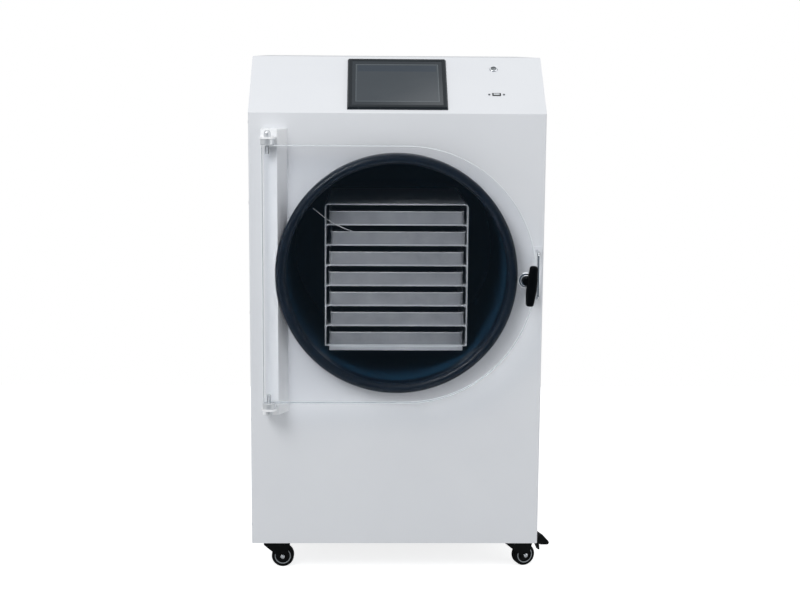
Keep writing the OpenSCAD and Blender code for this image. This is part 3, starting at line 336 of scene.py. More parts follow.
@dataclass(frozen=True)
class TouchScreen(Finish):
    """Cover glass over a dimmed display: a grey panel with a darker band along its top, inside a
    dark printed frame."""
    screen: str = "#3A4147"
    line: str = "#636B70"
    line_mm: float = 1.2
    band: str = "#303A44"
    band_mm: float = 24.0
    band_margin_mm: float = 3.0
    size_mm: tuple[float, float] = (184.0, 128.0)

    def inside(self, tree: NodeTree, flat: Node, grow_mm: float) -> Node:
        """Returns a mask: 1 up to a distance outside the display, for a place on the glass."""
        sides = [maths(tree, "LESS_THAN", maths(tree, "ABSOLUTE", flat.outputs[i]),
                       (size / 2 + grow_mm) * MM) for i, size in enumerate(self.size_mm)]
        return maths(tree, "MULTIPLY", *sides)

    def tint(self, tree: NodeTree, place: NodeSocket) -> NodeSocket:
        """Adds the display, its fine outline and the dark frame.

        Args:
            tree: The material's tree.
            place: The glass's own coordinates.

        Returns:
            The colour.
        """
        moved = add(tree, "VectorMath", {
            "operation": "SUBTRACT", 1: tuple(centre("screen_glass")), 0: place})
        laid = add(tree, "VectorRotate", {
            "rotation_type": "X_AXIS", "Angle": -slope(), "Vector": moved})
        flat = add(tree, "SeparateXYZ", {0: laid})
        above = maths(tree, "GREATER_THAN", flat.outputs[1],
                      (self.size_mm[1] / 2 - self.band_mm) * MM)
        band = maths(tree, "MULTIPLY", above, self.inside(tree, flat, -self.band_margin_mm))
        colour = super().tint(tree, place)
        for mask, paint in ((self.inside(tree, flat, self.line_mm), self.line),
                            (self.inside(tree, flat, 0.0), self.screen), (band, self.band)):
            colour = add(tree, "Mix", {
                "data_type": "RGBA", 7: linear(paint), 0: mask, 6: colour}).outputs[2]
        return colour


FINISHES = {
    # Polyester powder coat on steel sheet: pale, satin, with a faint orange peel. The peel's real
    # 1 mm cells are drawn at 5 mm, or they would be too fine to show.
    "paint": Finish("powder_coated_steel", "#E4E6E9", "#DEE0E4", 0.42, 0.04,
                    cloud_mm=160, grain_mm=5.0, depth_mm=0.02),
    # The hinge post's own coat of the same kind, a little whiter and glossier.
    "post": Finish("powder_coated_bar", "#FAFBFC", "#F5F6F8", 0.34, 0.04,
                   cloud_mm=120, grain_mm=5.0, depth_mm=0.02),
    # Cast acrylic: 1.49 is PMMA's index.
    "acrylic": ClearAcrylic("cast_acrylic", "#FDFDFE", "#F1F3F5", 0.02, ior=1.49,
                            grain_mm=60, depth_mm=0.05, bump=0.1, lets_light=True),
    # The sheet's bevels, flame-polished: their pale milky beads are painted highlight, standing in
    # for the bright lines that light picks out along the clear bevels. The socket's white plastic
    # tongue takes this finish too.
    "bevel": Finish("flame_polished_bevel", "#F3F6F8", "#E4E9ED", 0.22, 0.04, lets_light=True),
    # The sheet's sawn edge, polished too: a cloudy, pale grey band that is painted light, standing
    # in for the bright lines and dark reflections that the clear edge shows.
    "edge": Finish("flame_polished_edge", "#B9C0C5", "#ABB3B9", 0.22, 0.04, lets_light=True),
    # Moulded EPDM: blue-black, half gloss, smooth from a polished mould.
    "rubber": Finish("moulded_epdm", "#061422", "#05101B", 0.36, 0.04, specular=0.22),
    # Baked epoxy phenolic inside the drum: dark blue-grey and smooth.
    "drum": Finish("baked_epoxy", "#183A50", "#122D3F", 0.42, specular=0.2,
                   cloud_mm=70, grain_mm=4.0),
    # Stainless sheet with a brushed finish along the rack.
    "stainless": Finish("brushed_stainless", "#E6E8EA", "#D2D5D8", 0.34, 0.06, 0.55,
                        cloud_mm=50, grain=Grain.BRUSHED_Y, grain_mm=1.5),
    # Deep-drawn stainless trays, dulled by use, with streaks along their fronts. Their two greys in
    # slow clouds are painted reflection: the mottling stands in for the blurred cloudy reflections
    # in their fronts.
    "tray": Finish("drawn_tray_stainless", "#A5A7AB", "#7F8287", 0.44, 0.08, 0.35,
                   cloud_mm=38, grain=Grain.BRUSHED_X, depth_mm=0.02),
    # Bright nickel-chrome plate on turned brass.
    "chrome": Finish("chrome_plate", "#D9DCDF", "#CFD2D6", 0.10, 0.04, 1.0,
                     cloud_mm=20, grain_mm=1.0, depth_mm=0.003),
    # Dark nickel on the push button's cap, a little worn.
    "dark_nickel": Finish("dark_nickel_plate", "#8D9194", "#5E6265", 0.26, 0.06, 1.0,
                          cloud_mm=5, grain_mm=1.0, depth_mm=0.003),
    # Glass-filled nylon: black with a spark-eroded texture.
    "black_nylon": Finish("glass_filled_nylon", "#05080C", "#030508", 0.46, 0.08, specular=0.06,
                          cloud_mm=25, grain_mm=0.9, depth_mm=0.03),
    # Moulded ABS bezel, charcoal with a fine mat texture.
    "bezel": Finish("moulded_abs", "#1D2429", "#191F24", 0.46, 0.06,
                    specular=0.25, grain_mm=0.8, depth_mm=0.02),
    # Cover glass of the display, with its index of 1.52.
    "glass": TouchScreen("display_glass", "#283036", "#252C32", 0.12, 0.03,
                         ior=1.52, cloud_mm=120, grain_mm=40),
    # Bright zinc plate: grey with a bluish, spangled cast.
    "zinc": Finish("zinc_plate", "#B9BDC1", "#A3A7AC", 0.36, 0.10, 1.0, cloud_mm=12, grain_mm=3.0),
    # Drawn copper tube, darkened a little by brazing.
    "copper": Finish("drawn_copper", "#B87852", "#8E5538", 0.32, 0.10, 1.0,
                     cloud_mm=30, grain=Grain.DRAWN, depth_mm=0.02),
    # Closed-cell nitrile foam: mat black-grey with 1 mm cells, drawn at 2 mm.
    "foam": Finish("closed_cell_foam", "#2B2C2D", "#222324", 0.85, cloud_mm=25, depth_mm=0.25),
    # Black stoving enamel on pressed steel.
    "enamel": Finish("black_enamel", "#06090B", "#040607", 0.42, 0.08, specular=0.12,
                     cloud_mm=30, depth_mm=0.02),
    # Mill-finish aluminium fins.
    "fins": Finish("mill_aluminium", "#C3C6C9", "#A9ACB0", 0.40, 0.08, 1.0,
                   cloud_mm=18, grain=Grain.DRAWN, grain_mm=1.5),
    # Moulded polypropylene wheel core.
    "rim": Finish("moulded_polypropylene", "#101214", "#0B0D0E", 0.45, 0.06, specular=0.15,
                  cloud_mm=15, grain_mm=0.8, depth_mm=0.02),
    # Pale grey nylon ring round the wheel's core, polished by the mould.
    "ring": Finish("pale_moulded_nylon", "#A9AEB2", "#8F9599", 0.30, 0.06,
                   cloud_mm=8, grain_mm=0.8),
    # Thermoplastic rubber tread, scuffed where it rolls.
    "tyre": Finish("scuffed_tread_rubber", "#07090A", "#0E1011", 0.60, 0.10, specular=0.12,
                   cloud_mm=9, grain_mm=0.8, depth_mm=0.06),
    # Thin silicone-jacketed lead, half gloss: pale, and made paler still to paint the highlight
    # that it catches against the trays.
    "wire": Finish("silicone_jacket", "#E2E4E6", "#D2D5D8", 0.36, cloud_mm=12, grain_mm=1.0),
}

# The CAD nodes that each finish dresses
DRESSED = {
    "paint": ("front_panel", "top_cover", "left_side_panel", "right_side_panel", "back_panel",
              "strike_plate"),
    "post": ("hinge_post",), "drum": ("chamber_drum",), "rubber": ("door_gasket",),
    "foam": ("drum_insulation",), "copper": ("refrigerant_pipes",), "wire": ("probe_wire",),
    "acrylic": ("door_panel",), "bezel": ("screen_housing",), "glass": ("screen_glass",),
    "fins": ("condenser",), "tray": TRAYS,
    "zinc": ("base_pan", "inner_frame", "control_box"),
    "stainless": ("tray_rack", "rack_base_plate", "vacuum_port", "drain_outlet", "probe_tip",
                  "upper_hinge_pin", "lower_hinge_pin", "latch_tongue"),
    "chrome": ("latch_boss", "strike_rod", "button_body"),
    "dark_nickel": ("button_cap", "panel_screws"),
    "black_nylon": ("latch_lever", "data_socket", "fan_frame", "fan_rotor", "power_inlet"),
    "enamel": ("compressor", "caster_plates",
               *(f"{name}_{part}" for name in CASTERS for part in ("fork", "pedal"))),
    "rim": tuple(f"{name}_rim" for name in CASTERS),
    "tyre": tuple(f"{name}_tyre" for name in CASTERS),
}


def dress(finishes: dict[str, Material]) -> None:
    """Gives every CAD node its finish in place of the plain one.

    Args:
        finishes: The materials by the names of their finishes.
    """
    of_node = {node: finishes[name] for name, nodes in DRESSED.items() for node in nodes}
    for name, node in NODES.items():
        if not node.material_slots:
            node.data.materials.append(of_node[name])
        for slot in node.material_slots:
            slot.material = of_node[name]


# ---- Studio ----

@dataclass(frozen=True)
class Lamp:
    """One soft box: its place, its width and height, its power in watts, and where it points."""
    name: str
    place: Triple
    size: tuple[float, float]
    watts: float
    target: Triple = (0.0, -0.2, 0.7)

    def hang(self) -> None:
        """Hangs the lamp."""
        data = bpy.data.lights.new(self.name, "AREA")
        data.shape, data.energy = "RECTANGLE", self.watts
        data.size, data.size_y = self.size
        lamp = place_object(self.name, data)
        lamp.location = self.place
        lamp.visible_camera = False
        way = Vector(self.target) - Vector(self.place)
        lamp.rotation_euler = way.to_track_quat("-Z", "Y").to_euler()


@dataclass
class Studio:
    """Pale floor, soft lights and the camera."""
    camera_place: Triple = (-0.0682, -3.6617, 1.2009)
    pitch: float = math.radians(9.53)
    azimuth: float = math.radians(-1.18)
    roll: float = math.radians(0.39)
    lens_mm: float = 67.14
    sensor_mm: float = 36.0
    shift: tuple[float, float] = (0.0044, 0.0)
    pale: str = "#F6F8FA"
    daylight: float = 0.56
    room_lit: float = 0.6
    room_unlit: float = 0.15
    floor_half: float = 1.6
    floor_lift: float = 0.8
    lamps: tuple[Lamp, ...] = (
        Lamp("key_softbox", (-1.9, -3.3, 3.3), (1.6, 1.8), 76.0),
        Lamp("top_softbox", (0.2, -0.6, 3.6), (2.4, 1.6), 13.0),
        Lamp("fill_softbox", (3.3, -1.5, 1.4), (2.6, 2.6), 20.0))

    def set_camera(self) -> None:
        """Makes the scene's camera."""
        data = bpy.data.cameras.new("camera")
        data.lens, data.sensor_width = self.lens_mm, self.sensor_mm
        data.shift_x, data.shift_y = self.shift
        camera = place_object("camera", data)
        camera.matrix_world = (
            Matrix.Translation(self.camera_place) @ Matrix.Rotation(self.azimuth, 4, "Z")
            @ Matrix.Rotation(math.pi / 2 - self.pitch, 4, "X")
            @ Matrix.Rotation(self.roll, 4, "Z"))
        bpy.context.scene.camera = camera

    def through_door(self, tree: NodeTree, path: Node, bounces: str) -> Node:
        """Returns a factor: 1 for a look through the door that counts no bounces of one kind."""
        straight = maths(tree, "LESS_THAN", path.outputs[bounces], 0.5)
        return maths(tree, "MULTIPLY", path.outputs["Is Transmission Ray"], straight)

    def set_world(self) -> None:
        """Makes the surroundings: white to the eye, a softer pale light on the object, and for
        mirrors a pale room that is unlit behind the camera."""
        world = bpy.data.worlds.new("studio")
        tree = empty_tree(world)
        path = add(tree, "LightPath")
        way = add(tree, "SeparateXYZ", {0: add(tree, "TexCoord").outputs["Generated"]})
        # Towards the camera's side and down low the room is unlit
        unlit = maths(tree, "MULTIPLY", *(add(tree, "MapRange", {
            "interpolation_type": "SMOOTHSTEP", "From Min": start, "From Max": end,
            "To Min": 1.0, "To Max": 0.0, "Value": way.outputs[axis]})
            for axis, start, end in (("Y", -0.88, -0.62), ("Z", 0.18, 0.42))))
        level = add(tree, "MapRange", {
            "To Min": self.room_lit, "To Max": self.room_unlit, "Value": unlit})
        shade = add(tree, "Mix", {
            "data_type": "RGBA", 6: linear(self.pale), 7: linear("#8FB0CF"), 0: unlit})
        soft = add(tree, "Background", {"Color": linear(self.pale), "Strength": self.daylight})
        room = add(tree, "Background", {"Color": shade.outputs[2], "Strength": level})
        white = add(tree, "Background", {"Color": linear("#FFFFFF"), "Strength": 1.0})
        bent = maths(tree, "MAXIMUM", path.outputs["Is Glossy Ray"],
                     path.outputs["Is Transmission Ray"])
        # Light that was mirrored on its way through the door comes from the room, not the backdrop
        clear = maths(tree, "SUBTRACT", self.through_door(tree, path, "Glossy Depth"), unlit)
        eye = maths(tree, "MAXIMUM", path.outputs["Is Camera Ray"], clear)
        lit = add(tree, "MixShader", {0: bent, 1: soft, 2: room})
        shown = add(tree, "MixShader", {0: eye, 1: lit, 2: white})
        add(tree, "OutputWorld", {"Surface": shown})
        bpy.context.scene.world = world

    def set_floor(self) -> None:
        """Makes the floor: pale and mat, lifted to white where no shadow falls."""
        material = bpy.data.materials.new("studio_floor")
        tree = empty_tree(material)
        matt = add(tree, "BsdfDiffuse", {"Color": linear("#D2D3D4")})
        path = add(tree, "LightPath")
        seen = maths(tree, "MAXIMUM", path.outputs["Is Camera Ray"],
                     self.through_door(tree, path, "Diffuse Depth"))
        level = maths(tree, "MULTIPLY", seen, self.floor_lift)
        lift = add(tree, "Emission", {"Color": linear("#FFFFFF"), "Strength": level})
        both = add(tree, "AddShader", {0: matt, 1: lift})
        add(tree, "OutputMaterial", {"Surface": both})
        shape = bmesh.new()
        shape.faces.new([shape.verts.new((x * self.floor_half, y * self.floor_half, 0.0))
                         for x, y in ((-1, -1), (1, -1), (1, 1), (-1, 1))])
        mesh_piece("floor", shape, material)

    def build(self) -> None:
        """Builds the whole studio."""
        self.set_camera()
        self.set_world()
        self.set_floor()
        for lamp in self.lamps:
            lamp.hang()
        bpy.context.scene.view_settings.view_transform = "Standard"


# ---- Probe ----

@dataclass
class Fitting:
    """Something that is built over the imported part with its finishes."""
    finishes: dict[str, Material]


@dataclass
class Probe(Fitting):
    """Temperature probe: a thin lead from its gland over a tray's rim to a steel sleeve."""
    diameter: float = 1.8 * MM
    sides: int = 12
    # Middle line of the lead, in millimetres
    route_mm: tuple[Triple, ...] = (
        (-188, -322, 849), (-184, -322, 846.1), (-178, -322, 841.5), (-171, -322, 835.5),
        (-163, -322.5, 829.1), (-154, -323, 822.8), (-145, -323, 817.4), (-136, -322.5, 812.5),
        (-128, -321, 808.5), (-120.5, -318.5, 804.9), (-113.5, -315, 801.5), (-107, -310.5, 798.5),
        (-102, -305.5, 796.5), (-98.5, -300.5, 794), (-96, -295.5, 790.5), (-94, -290, 786),
        (-92.5, -284.5, 780.5), (-91, -279, 775.5), (-89.5, -273, 771.9), (-88.5, -266.5, 770.1),
        (-88, -260, 769.5), (-88, -254, 769.5))

    def smooth_route(self, steps: int = 4) -> list[Vector]:
        """Rounds the route with a smooth curve through its points.

        Args:
            steps: Number of pieces between two points.

        Returns:
            Points along the curve, in metres.
        """
        points = [Vector(p) * MM for p in self.route_mm]
        line = []
        for i in range(len(points) - 1):
            a, b = points[max(i - 1, 0)], points[i]
            c, d = points[i + 1], points[min(i + 2, len(points) - 1)]
            for k in range(steps):
                t = k / steps
                line.append(b + t * ((c - a) / 2 + t * ((a - 2.5 * b + 2 * c - d / 2)
                                                        + t * (1.5 * (b - c) + (d - a) / 2))))
        return line + [points[-1]]

    def build(self) -> None:
        line = self.smooth_route()
        turns = [2 * math.pi * k / self.sides for k in range(self.sides)]
        rings = []
        for i, point in enumerate(line):
            along = (line[min(i + 1, len(line) - 1)] - line[max(i - 1, 0)]).normalized()
            side = along.cross(Vector((0, 0, 1))).normalized()
            up = side.cross(along)
            rings.append([point + self.diameter / 2 * (
                math.cos(turn) * side + math.sin(turn) * up) for turn in turns])
        shape = bmesh.new()
        loft(shape, rings)
        lead = mesh_piece("probe_lead", shape, self.finishes["wire"], smooth=True)
        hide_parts("probe_wire")
        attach(lead, "cabinet")


# ---- Geometry trees ----

def new_tree(name: str, **inputs: str) -> tuple[NodeTree, Node]:
    """Starts a geometry tree.

    Args:
        name: The tree's name.
        inputs: Its inputs in order, each with its socket kind. The first is the mesh.

    Returns:
        The tree and its input node.
    """
    tree = bpy.data.node_groups.new(name, "GeometryNodeTree")
    for title, kind in inputs.items():
        tree.interface.new_socket(title, in_out="INPUT", socket_type="NodeSocket" + kind)
    tree.interface.new_socket("Mesh", in_out="OUTPUT", socket_type="NodeSocketGeometry")
    return tree, add(tree, "NodeGroupInput")


def end_tree(tree: NodeTree, made: Node, material: Material) -> None:
    """Ends a geometry tree with real copies and their material.

    Args:
        tree: The tree.
        made: The node that made the geometry.
        material: The material of all of it.
    """
    real = add(tree, "RealizeInstances", {0: made})
    painted = add(tree, "SetMaterial", {"Material": material, "Geometry": real})
    add(tree, "NodeGroupOutput", {"Mesh": painted})


def run_tree(mesh: Mesh, tree: NodeTree, material: Material,
             sharp: float = 35.0, **sizes: Any) -> Object:
    """Runs a geometry tree on a mesh and keeps its result as a plain piece.

    Args:
        mesh: The mesh that the tree starts from. The finished piece gets the tree's name.
        tree: The geometry tree.
        material: The finished piece's material.
        sharp: Edges that turn by more degrees than this stay crisp.
        sizes: Values of the tree's inputs. An object among them is removed afterwards.

    Returns:
        The finished piece, at the origin.
    """
    source = place_object(tree.name + "_source", mesh)
    modifier = source.modifiers.new(tree.name, "NODES")
    modifier.node_group = tree
    for item in tree.interface.items_tree:
        if item.in_out == "INPUT" and item.name in sizes:
            modifier[item.identifier] = sizes[item.name]
    result = bake(source, modifier)
    result.materials.clear()
    result.materials.append(material)
    result.polygons.foreach_set("use_smooth", [True] * len(result.polygons))
    result.set_sharp_from_angle(angle=math.radians(sharp))
    piece = place_object(tree.name, result)
    for thing in [source, *sizes.values()]:
        if isinstance(thing, Object):
            bpy.data.objects.remove(thing)
    return piece


def line_mesh(name: str, *loops: Sequence[Sequence[float]]) -> Mesh:
    """Makes a mesh of closed lines.

    Args:
        name: Its name.
        loops: The corners of each line in order.

    Returns:
        The mesh.
    """
    edges: list[tuple[int, int]] = []
    for loop in loops:
        start = len(edges)
        edges += [(start + i, start + (i + 1) % len(loop)) for i in range(len(loop))]
    mesh = bpy.data.meshes.new(name)
    mesh.from_pydata([corner for loop in loops for corner in loop], edges, [])
    return mesh


def sweep_wire(tree: NodeTree, line: Node, radius: NodeSocket) -> Node:
    """Adds a round wire along a line to a geometry tree and returns its node."""
    wire = add(tree, "CurvePrimitiveCircle", {"Resolution": 8, "Radius": radius})
    return add(tree, "CurveToMesh", {"Curve": line, "Profile Curve": wire})


def copy_form(name: str, form: Object, points: Sequence[tuple[Vector, Vector]]) -> Object:
    """Copies one small form onto points, by a geometry tree, as one plain mesh.

    Args:
        name: Name of the finished piece. It gets the form's material.
        form: The form, around the origin with its outside towards +Z. It is removed.
        points: (place, facing) pairs.

    Returns:
        The finished piece.
    """
    material = form.data.materials[0]
    tree, given = new_tree(name, Points="Geometry", Form="Object", Size="Float")
    source = add(tree, "ObjectInfo", {"Object": given.outputs["Form"]})
    facing = add(tree, "InputNamedAttribute", {"data_type": "FLOAT_VECTOR", "Name": "facing"})
    turned = add(tree, "FunctionNodeAlignRotationToVector", {"axis": "Z", "Vector": facing})
    copies = add(tree, "InstanceOnPoints", {
        "Points": given.outputs["Points"], "Instance": source.outputs["Geometry"],
        "Rotation": turned, "Scale": given.outputs["Size"]})
    end_tree(tree, copies, material)
    mesh = bpy.data.meshes.new(name)
    mesh.from_pydata([place for place, _ in points], [], [])
    ways = mesh.attributes.new("facing", "FLOAT_VECTOR", "POINT")
    ways.data.foreach_set("vector", [c for _, way in points for c in way])
    return run_tree(mesh, tree, material, Form=form, Size=1.0)


# ---- Chamber ----

@dataclass
class Chamber(Fitting):
    """Door gasket, tray hems, ribbed strip and the probe's gland nut."""
    lip: float = 11 * MM
    lip_steps: int = 20
    gasket_steps: int = 160
    groove: float = 0.9 * MM
    groove_levels: tuple[float, ...] = (0.55, 0.28)
    rim_space: float = 0.2 * MM
    rim_wall: float = 4.2 * MM
    slot_depth: float = 20.2 * MM
    hem: float = 0.9 * MM
    tray_corner: float = 8 * MM
    rib: Triple = (3 * MM, 4 * MM, 0.7 * MM)
    apron: float = 9 * MM
    rib_pitch: float = 6 * MM
    gland_way: Triple = (-0.8, 0.0, 0.6)
    gland_y: float = -322 * MM
    nut_radius: float = 240.5 * MM
    collar_radius: float = 235.2 * MM

    def gasket_profile(self) -> list[tuple[float, float]]:
        """Draws the full-round gasket with its two moulding grooves and the slot for the rim.

        Returns:
            (radius from the axis, distance in front of the front panel) corners in order.
        """
        low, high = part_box("door_gasket")
        outer, reach = (high[0] - low[0]) / 2, high[1] - low[1]
        drum_low, drum_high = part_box("chamber_drum")
        rim = (drum_high[0] - drum_low[0]) / 2
        turns = [math.pi * k / self.lip_steps for k in range(1, self.lip_steps)]
        profile = [(outer - 2 * self.lip, 0.0), (outer - 2 * self.lip, reach - self.lip)]
        profile += [(outer - self.lip - self.lip * math.cos(turn),
                     reach - self.lip + self.lip * math.sin(turn)) for turn in turns]
        profile.append((outer, reach - self.lip))
        for level in self.groove_levels:
            profile += [(outer, reach * level + 1.4 * self.groove),
                        (outer - self.groove, reach * level),
                        (outer, reach * level - 1.4 * self.groove)]
        slot_out, slot_in = rim + self.rim_space, rim - self.rim_wall
        return profile + [(outer, 0.0), (slot_out, 0.0), (slot_out, self.slot_depth),
                          (slot_in, self.slot_depth), (slot_in, 0.0)]

    def add_gasket(self) -> None:
        """Sweeps the gasket's profile round the chamber's axis."""
        tree, given = new_tree("round_gasket", Profile="Geometry", Radius="Float", Middle="Vector")
        ring = add(tree, "CurvePrimitiveCircle", {
            "Resolution": self.gasket_steps, "Radius": given.outputs["Radius"]})
        level = add(tree, "SetCurveNormal", {"mode": "Z_UP", "Curve": ring})
        section = add(tree, "MeshToCurve", {"Mesh": given.outputs["Profile"]})
        swept = add(tree, "CurveToMesh", {"Curve": level, "Profile Curve": section})
        stood = add(tree, "Transform", {
            "Rotation": (math.pi / 2, 0.0, 0.0), "Geometry": swept,
            "Translation": given.outputs["Middle"]})
        end_tree(tree, stood, self.finishes["rubber"])
        low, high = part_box("door_gasket")
        radius = (high[0] - low[0]) / 2 - self.lip
        mesh = line_mesh("round_gasket", [(r - radius, -along, 0.0)
                                          for r, along in self.gasket_profile()])
        middle = Vector(((low[0] + high[0]) / 2, high[1], (low[2] + high[2]) / 2))
        gasket = run_tree(mesh, tree, self.finishes["rubber"], Radius=radius, Middle=middle)
        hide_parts("door_gasket")
        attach(gasket, "cabinet")

    def add_hems(self) -> None:
        """Sweeps a rolled hem round each tray's rim."""
        tree, given = new_tree("tray_hems", Rims="Geometry", Width="Float", Length="Float",
                               Corner="Float", Wire="Float")
        rim = add(tree, "CurvePrimitiveQuadrilateral", {
            "Width": given.outputs["Width"], "Height": given.outputs["Length"]})
        rounded = add(tree, "FilletCurve", {
            "mode": "POLY", "Count": 6, "Curve": rim, "Radius": given.outputs["Corner"]})
        hem = sweep_wire(tree, rounded, given.outputs["Wire"])
        copies = add(tree, "InstanceOnPoints", {"Points": given.outputs["Rims"], "Instance": hem})
        end_tree(tree, copies, self.finishes["stainless"])
        low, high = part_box(TRAYS[0])
        mesh = bpy.data.meshes.new("tray_hems")
        mesh.from_pydata([(centre(name).x, centre(name).y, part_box(name)[1][2] - self.hem)
                          for name in TRAYS], [], [])
        hems = run_tree(mesh, tree, self.finishes["stainless"], sharp=60.0,
                        Width=high[0] - low[0] + 0.6 * self.hem,
                        Length=high[1] - low[1] + 0.6 * self.hem,
                        Corner=self.tray_corner, Wire=self.hem)
        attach(hems, "cabinet")

    def add_strip(self) -> None:
        """Sets a row of pressed ribs on the front of the plate under the rack."""
        low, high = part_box("rack_base_plate")
        shape = bmesh.new()
        add_block(shape, self.rib)
        round_edges(shape, 0.25 * MM)
        rib = mesh_piece("rib", shape, self.finishes["stainless"])
        count = int((high[0] - low[0] - 2 * self.rib_pitch) / self.rib_pitch)
        middle = (low[0] + high[0]) / 2
        level = high[2] - self.apron / 2
        points = [(Vector((middle + (i - (count - 1) / 2) * self.rib_pitch, low[1], level)),
                   Vector((0, -1, 0))) for i in range(count)]
        strip = copy_form("pressed_ribs", rib, points)
        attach(strip, "cabinet")

    def add_gland_nut(self) -> None:
        """Screws a hexagonal nut onto the probe's gland, with a rounded collar at the lead."""
        along = Vector(self.gland_way)
        axis = Vector((0.0, self.gland_y, centre("door_gasket").z))
        shape = bmesh.new()
        revolve(shape, metres(((0, 0), (8, 0), (8.6, 0.8), (8.6, 5.2), (8, 6), (0, 6))),
                axis + self.nut_radius * along, along, steps=6)
        revolve(shape, metres(((1.1, 0), (4, 0), (5.4, 1.2), (5.4, 5))),
                axis + self.collar_radius * along, along, steps=28)
        nut = mesh_piece("gland_nut", shape, self.finishes["black_nylon"])
        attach(nut, "cabinet")

    def build(self) -> None:
        """Builds the chamber's pieces."""
        self.add_gasket()
        self.add_hems()
        self.add_strip()
        self.add_gland_nut()


# ---- Door ----

@dataclass
class Door(Fitting):
    """Polished bevels round both faces of the acrylic sheet, drawn as pale beads that paint their
    highlights, and a milky band inside its rim that paints the light along its edge.
    """
    chamfer: float = 1.5 * MM
    bead: float = 0.9 * MM
    rim_depth: float = 0.4 * MM
    rim_margin: float = 1.3 * MM
    rim_step: float = 6.0 * MM
    pin_space: float = 9.0 * MM

    def outwards(self, place: Vector) -> Vector:
        """Returns the way from the sheet's middle to a place, along the sheet."""
        middle = centre("door_panel")
        return Vector((place.x - middle.x, 0.0, place.z - middle.z)).normalized()

    def hull(self, level: Optional[float] = None) -> list[Vector]:
        """Finds the sheet's outline.

        Args:
            level: Where one of its faces lies along Y, or nothing for the whole sheet.

        Returns:
            Its corners in order.
        """
        sheet = NODES["door_panel"]
        corners = [sheet.matrix_world @ v.co for v in sheet.data.vertices]
        flat = [(c.x, c.z) for c in corners if level is None or abs(c.y - level) < 0.2 * MM]
        return [Vector((flat[i][0], level or 0.0, flat[i][1]))
                for i in geometry.convex_hull_2d(flat)]

    def add_bevels(self) -> None:
        """Sweeps a fine rounded bead along the middle of the bevel round each face, as a painted
        highlight of the clear bevel.
        """
        tree, given = new_tree("sheet_bevels", Outline="Geometry", Bead="Float")
        line = add(tree, "MeshToCurve", {"Mesh": given.outputs["Outline"]})
        end_tree(tree, sweep_wire(tree, line, given.outputs["Bead"]), self.finishes["bevel"])
        low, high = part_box("door_panel")
        loops = []
        for level in (low[1], high[1]):
            inward = math.copysign(self.chamfer / 2, centre("door_panel").y - level)
            loops.append([Vector((c.x, level + inward, c.z)) + self.outwards(c) * self.chamfer / 4
                          for c in self.hull(level)])
        bevels = run_tree(line_mesh("sheet_bevels", *loops), tree, self.finishes["bevel"],
                          sharp=60.0, Bead=self.bead)
        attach(bevels, "door")

    def add_rim(self) -> None:
        """Lines the sheet's rim with a thin milky band inside its surface, open at the pins:
        painted light along the clear edge.
        """
        low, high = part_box("door_panel")
        pin, middle = centre("upper_hinge_pin"), centre("door_panel")
        hull = self.hull()
        rim = []
        for start, end in zip(hull, hull[1:] + hull[:1]):
            steps = max(1, math.ceil((end - start).length / self.rim_step))
            rim += [start.lerp(end, k / steps) for k in range(steps)]
        pin_level = (high[2] - low[2]) / 2 - self.pin_space
        clear = [abs(place.x - pin.x) > self.pin_space or abs(place.z - middle.z) < pin_level
                 for place in rim]
        front, back = low[1] + self.rim_margin, high[1] - self.rim_margin
        section = [(1, front), (1, back), (2, back), (2, front)]
        first = next(i for i in range(len(rim)) if clear[i] and not clear[i - 1])
        runs: list[list[list[Vector]]] = []
        for i in [*range(first, len(rim)), *range(first)]:
            if not clear[i]:
                continue
            if not clear[i - 1]:
                runs.append([])
            away = self.outwards(rim[i]) * self.rim_depth
            runs[-1].append([rim[i] - away * depth + Vector((0.0, along, 0.0))
                             for depth, along in section])
        shape = bmesh.new()
        for rings in runs:
            loft(shape, rings)
        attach(mesh_piece("polished_rim", shape, self.finishes["edge"]), "door")

    def build(self) -> None:
        """Builds the trim of the sheet."""
        self.add_bevels()
        self.add_rim()


# ---- Console ----

@dataclass
class Console(Fitting):
    """Metal shell and tongue in the data socket."""
    socket_half: float = 4.5 * MM
    socket_proud: float = 1.2 * MM
    slot: tuple[float, float] = (12.5 * MM, 5.0 * MM)
    shell_wall: float = 0.8 * MM
    shell_length: float = 4.8 * MM
    shell_depth: float = 2.0 * MM
    tongue: Triple = (10.75 * MM, 1.8 * MM, 10.0 * MM)
    tongue_lift: float = 0.9 * MM
    tongue_depth: float = 5.2 * MM

    def seat(self) -> Matrix:
        """Finds where the socket sits.

        Returns:
            Its frame: X across, Y up the slope, Z out of the console.
        """
        low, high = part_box("data_socket")
        tilt = slope()
        place = Vector((
            (low[0] + high[0]) / 2,
            low[1] + self.socket_half * math.cos(tilt) + self.socket_proud * math.sin(tilt),
            high[2] - self.socket_half * math.sin(tilt) - self.socket_proud * math.cos(tilt)))
        return Matrix.Translation(place) @ Matrix.Rotation(tilt, 4, "X")

    def build(self) -> None:
        """Lines the socket's slot with a folded shell and sets the tongue inside it."""
        seat = self.seat()
        width, height = self.slot
        shape = bmesh.new()
        for way in (-1, 1):
            for place, size in (
                    ((0.0, way * height / 2), (width + self.shell_wall, self.shell_wall)),
                    ((way * width / 2, 0.0), (self.shell_wall, height))):
                add_block(shape, (*size, self.shell_length), seat @ Matrix.Translation(
                    (*place, self.socket_proud - self.shell_depth)))
        round_edges(shape, 0.15 * MM)
        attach(mesh_piece("socket_shell", shape, self.finishes["stainless"]), "cabinet")
        shape = bmesh.new()
        add_block(shape, self.tongue, seat @ Matrix.Translation(
            (0.0, self.tongue_lift, self.socket_proud - self.tongue_depth)))
        round_edges(shape, 0.2 * MM)
        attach(mesh_piece("socket_tongue", shape, self.finishes["bevel"]), "cabinet")


# ---- Fasteners ----

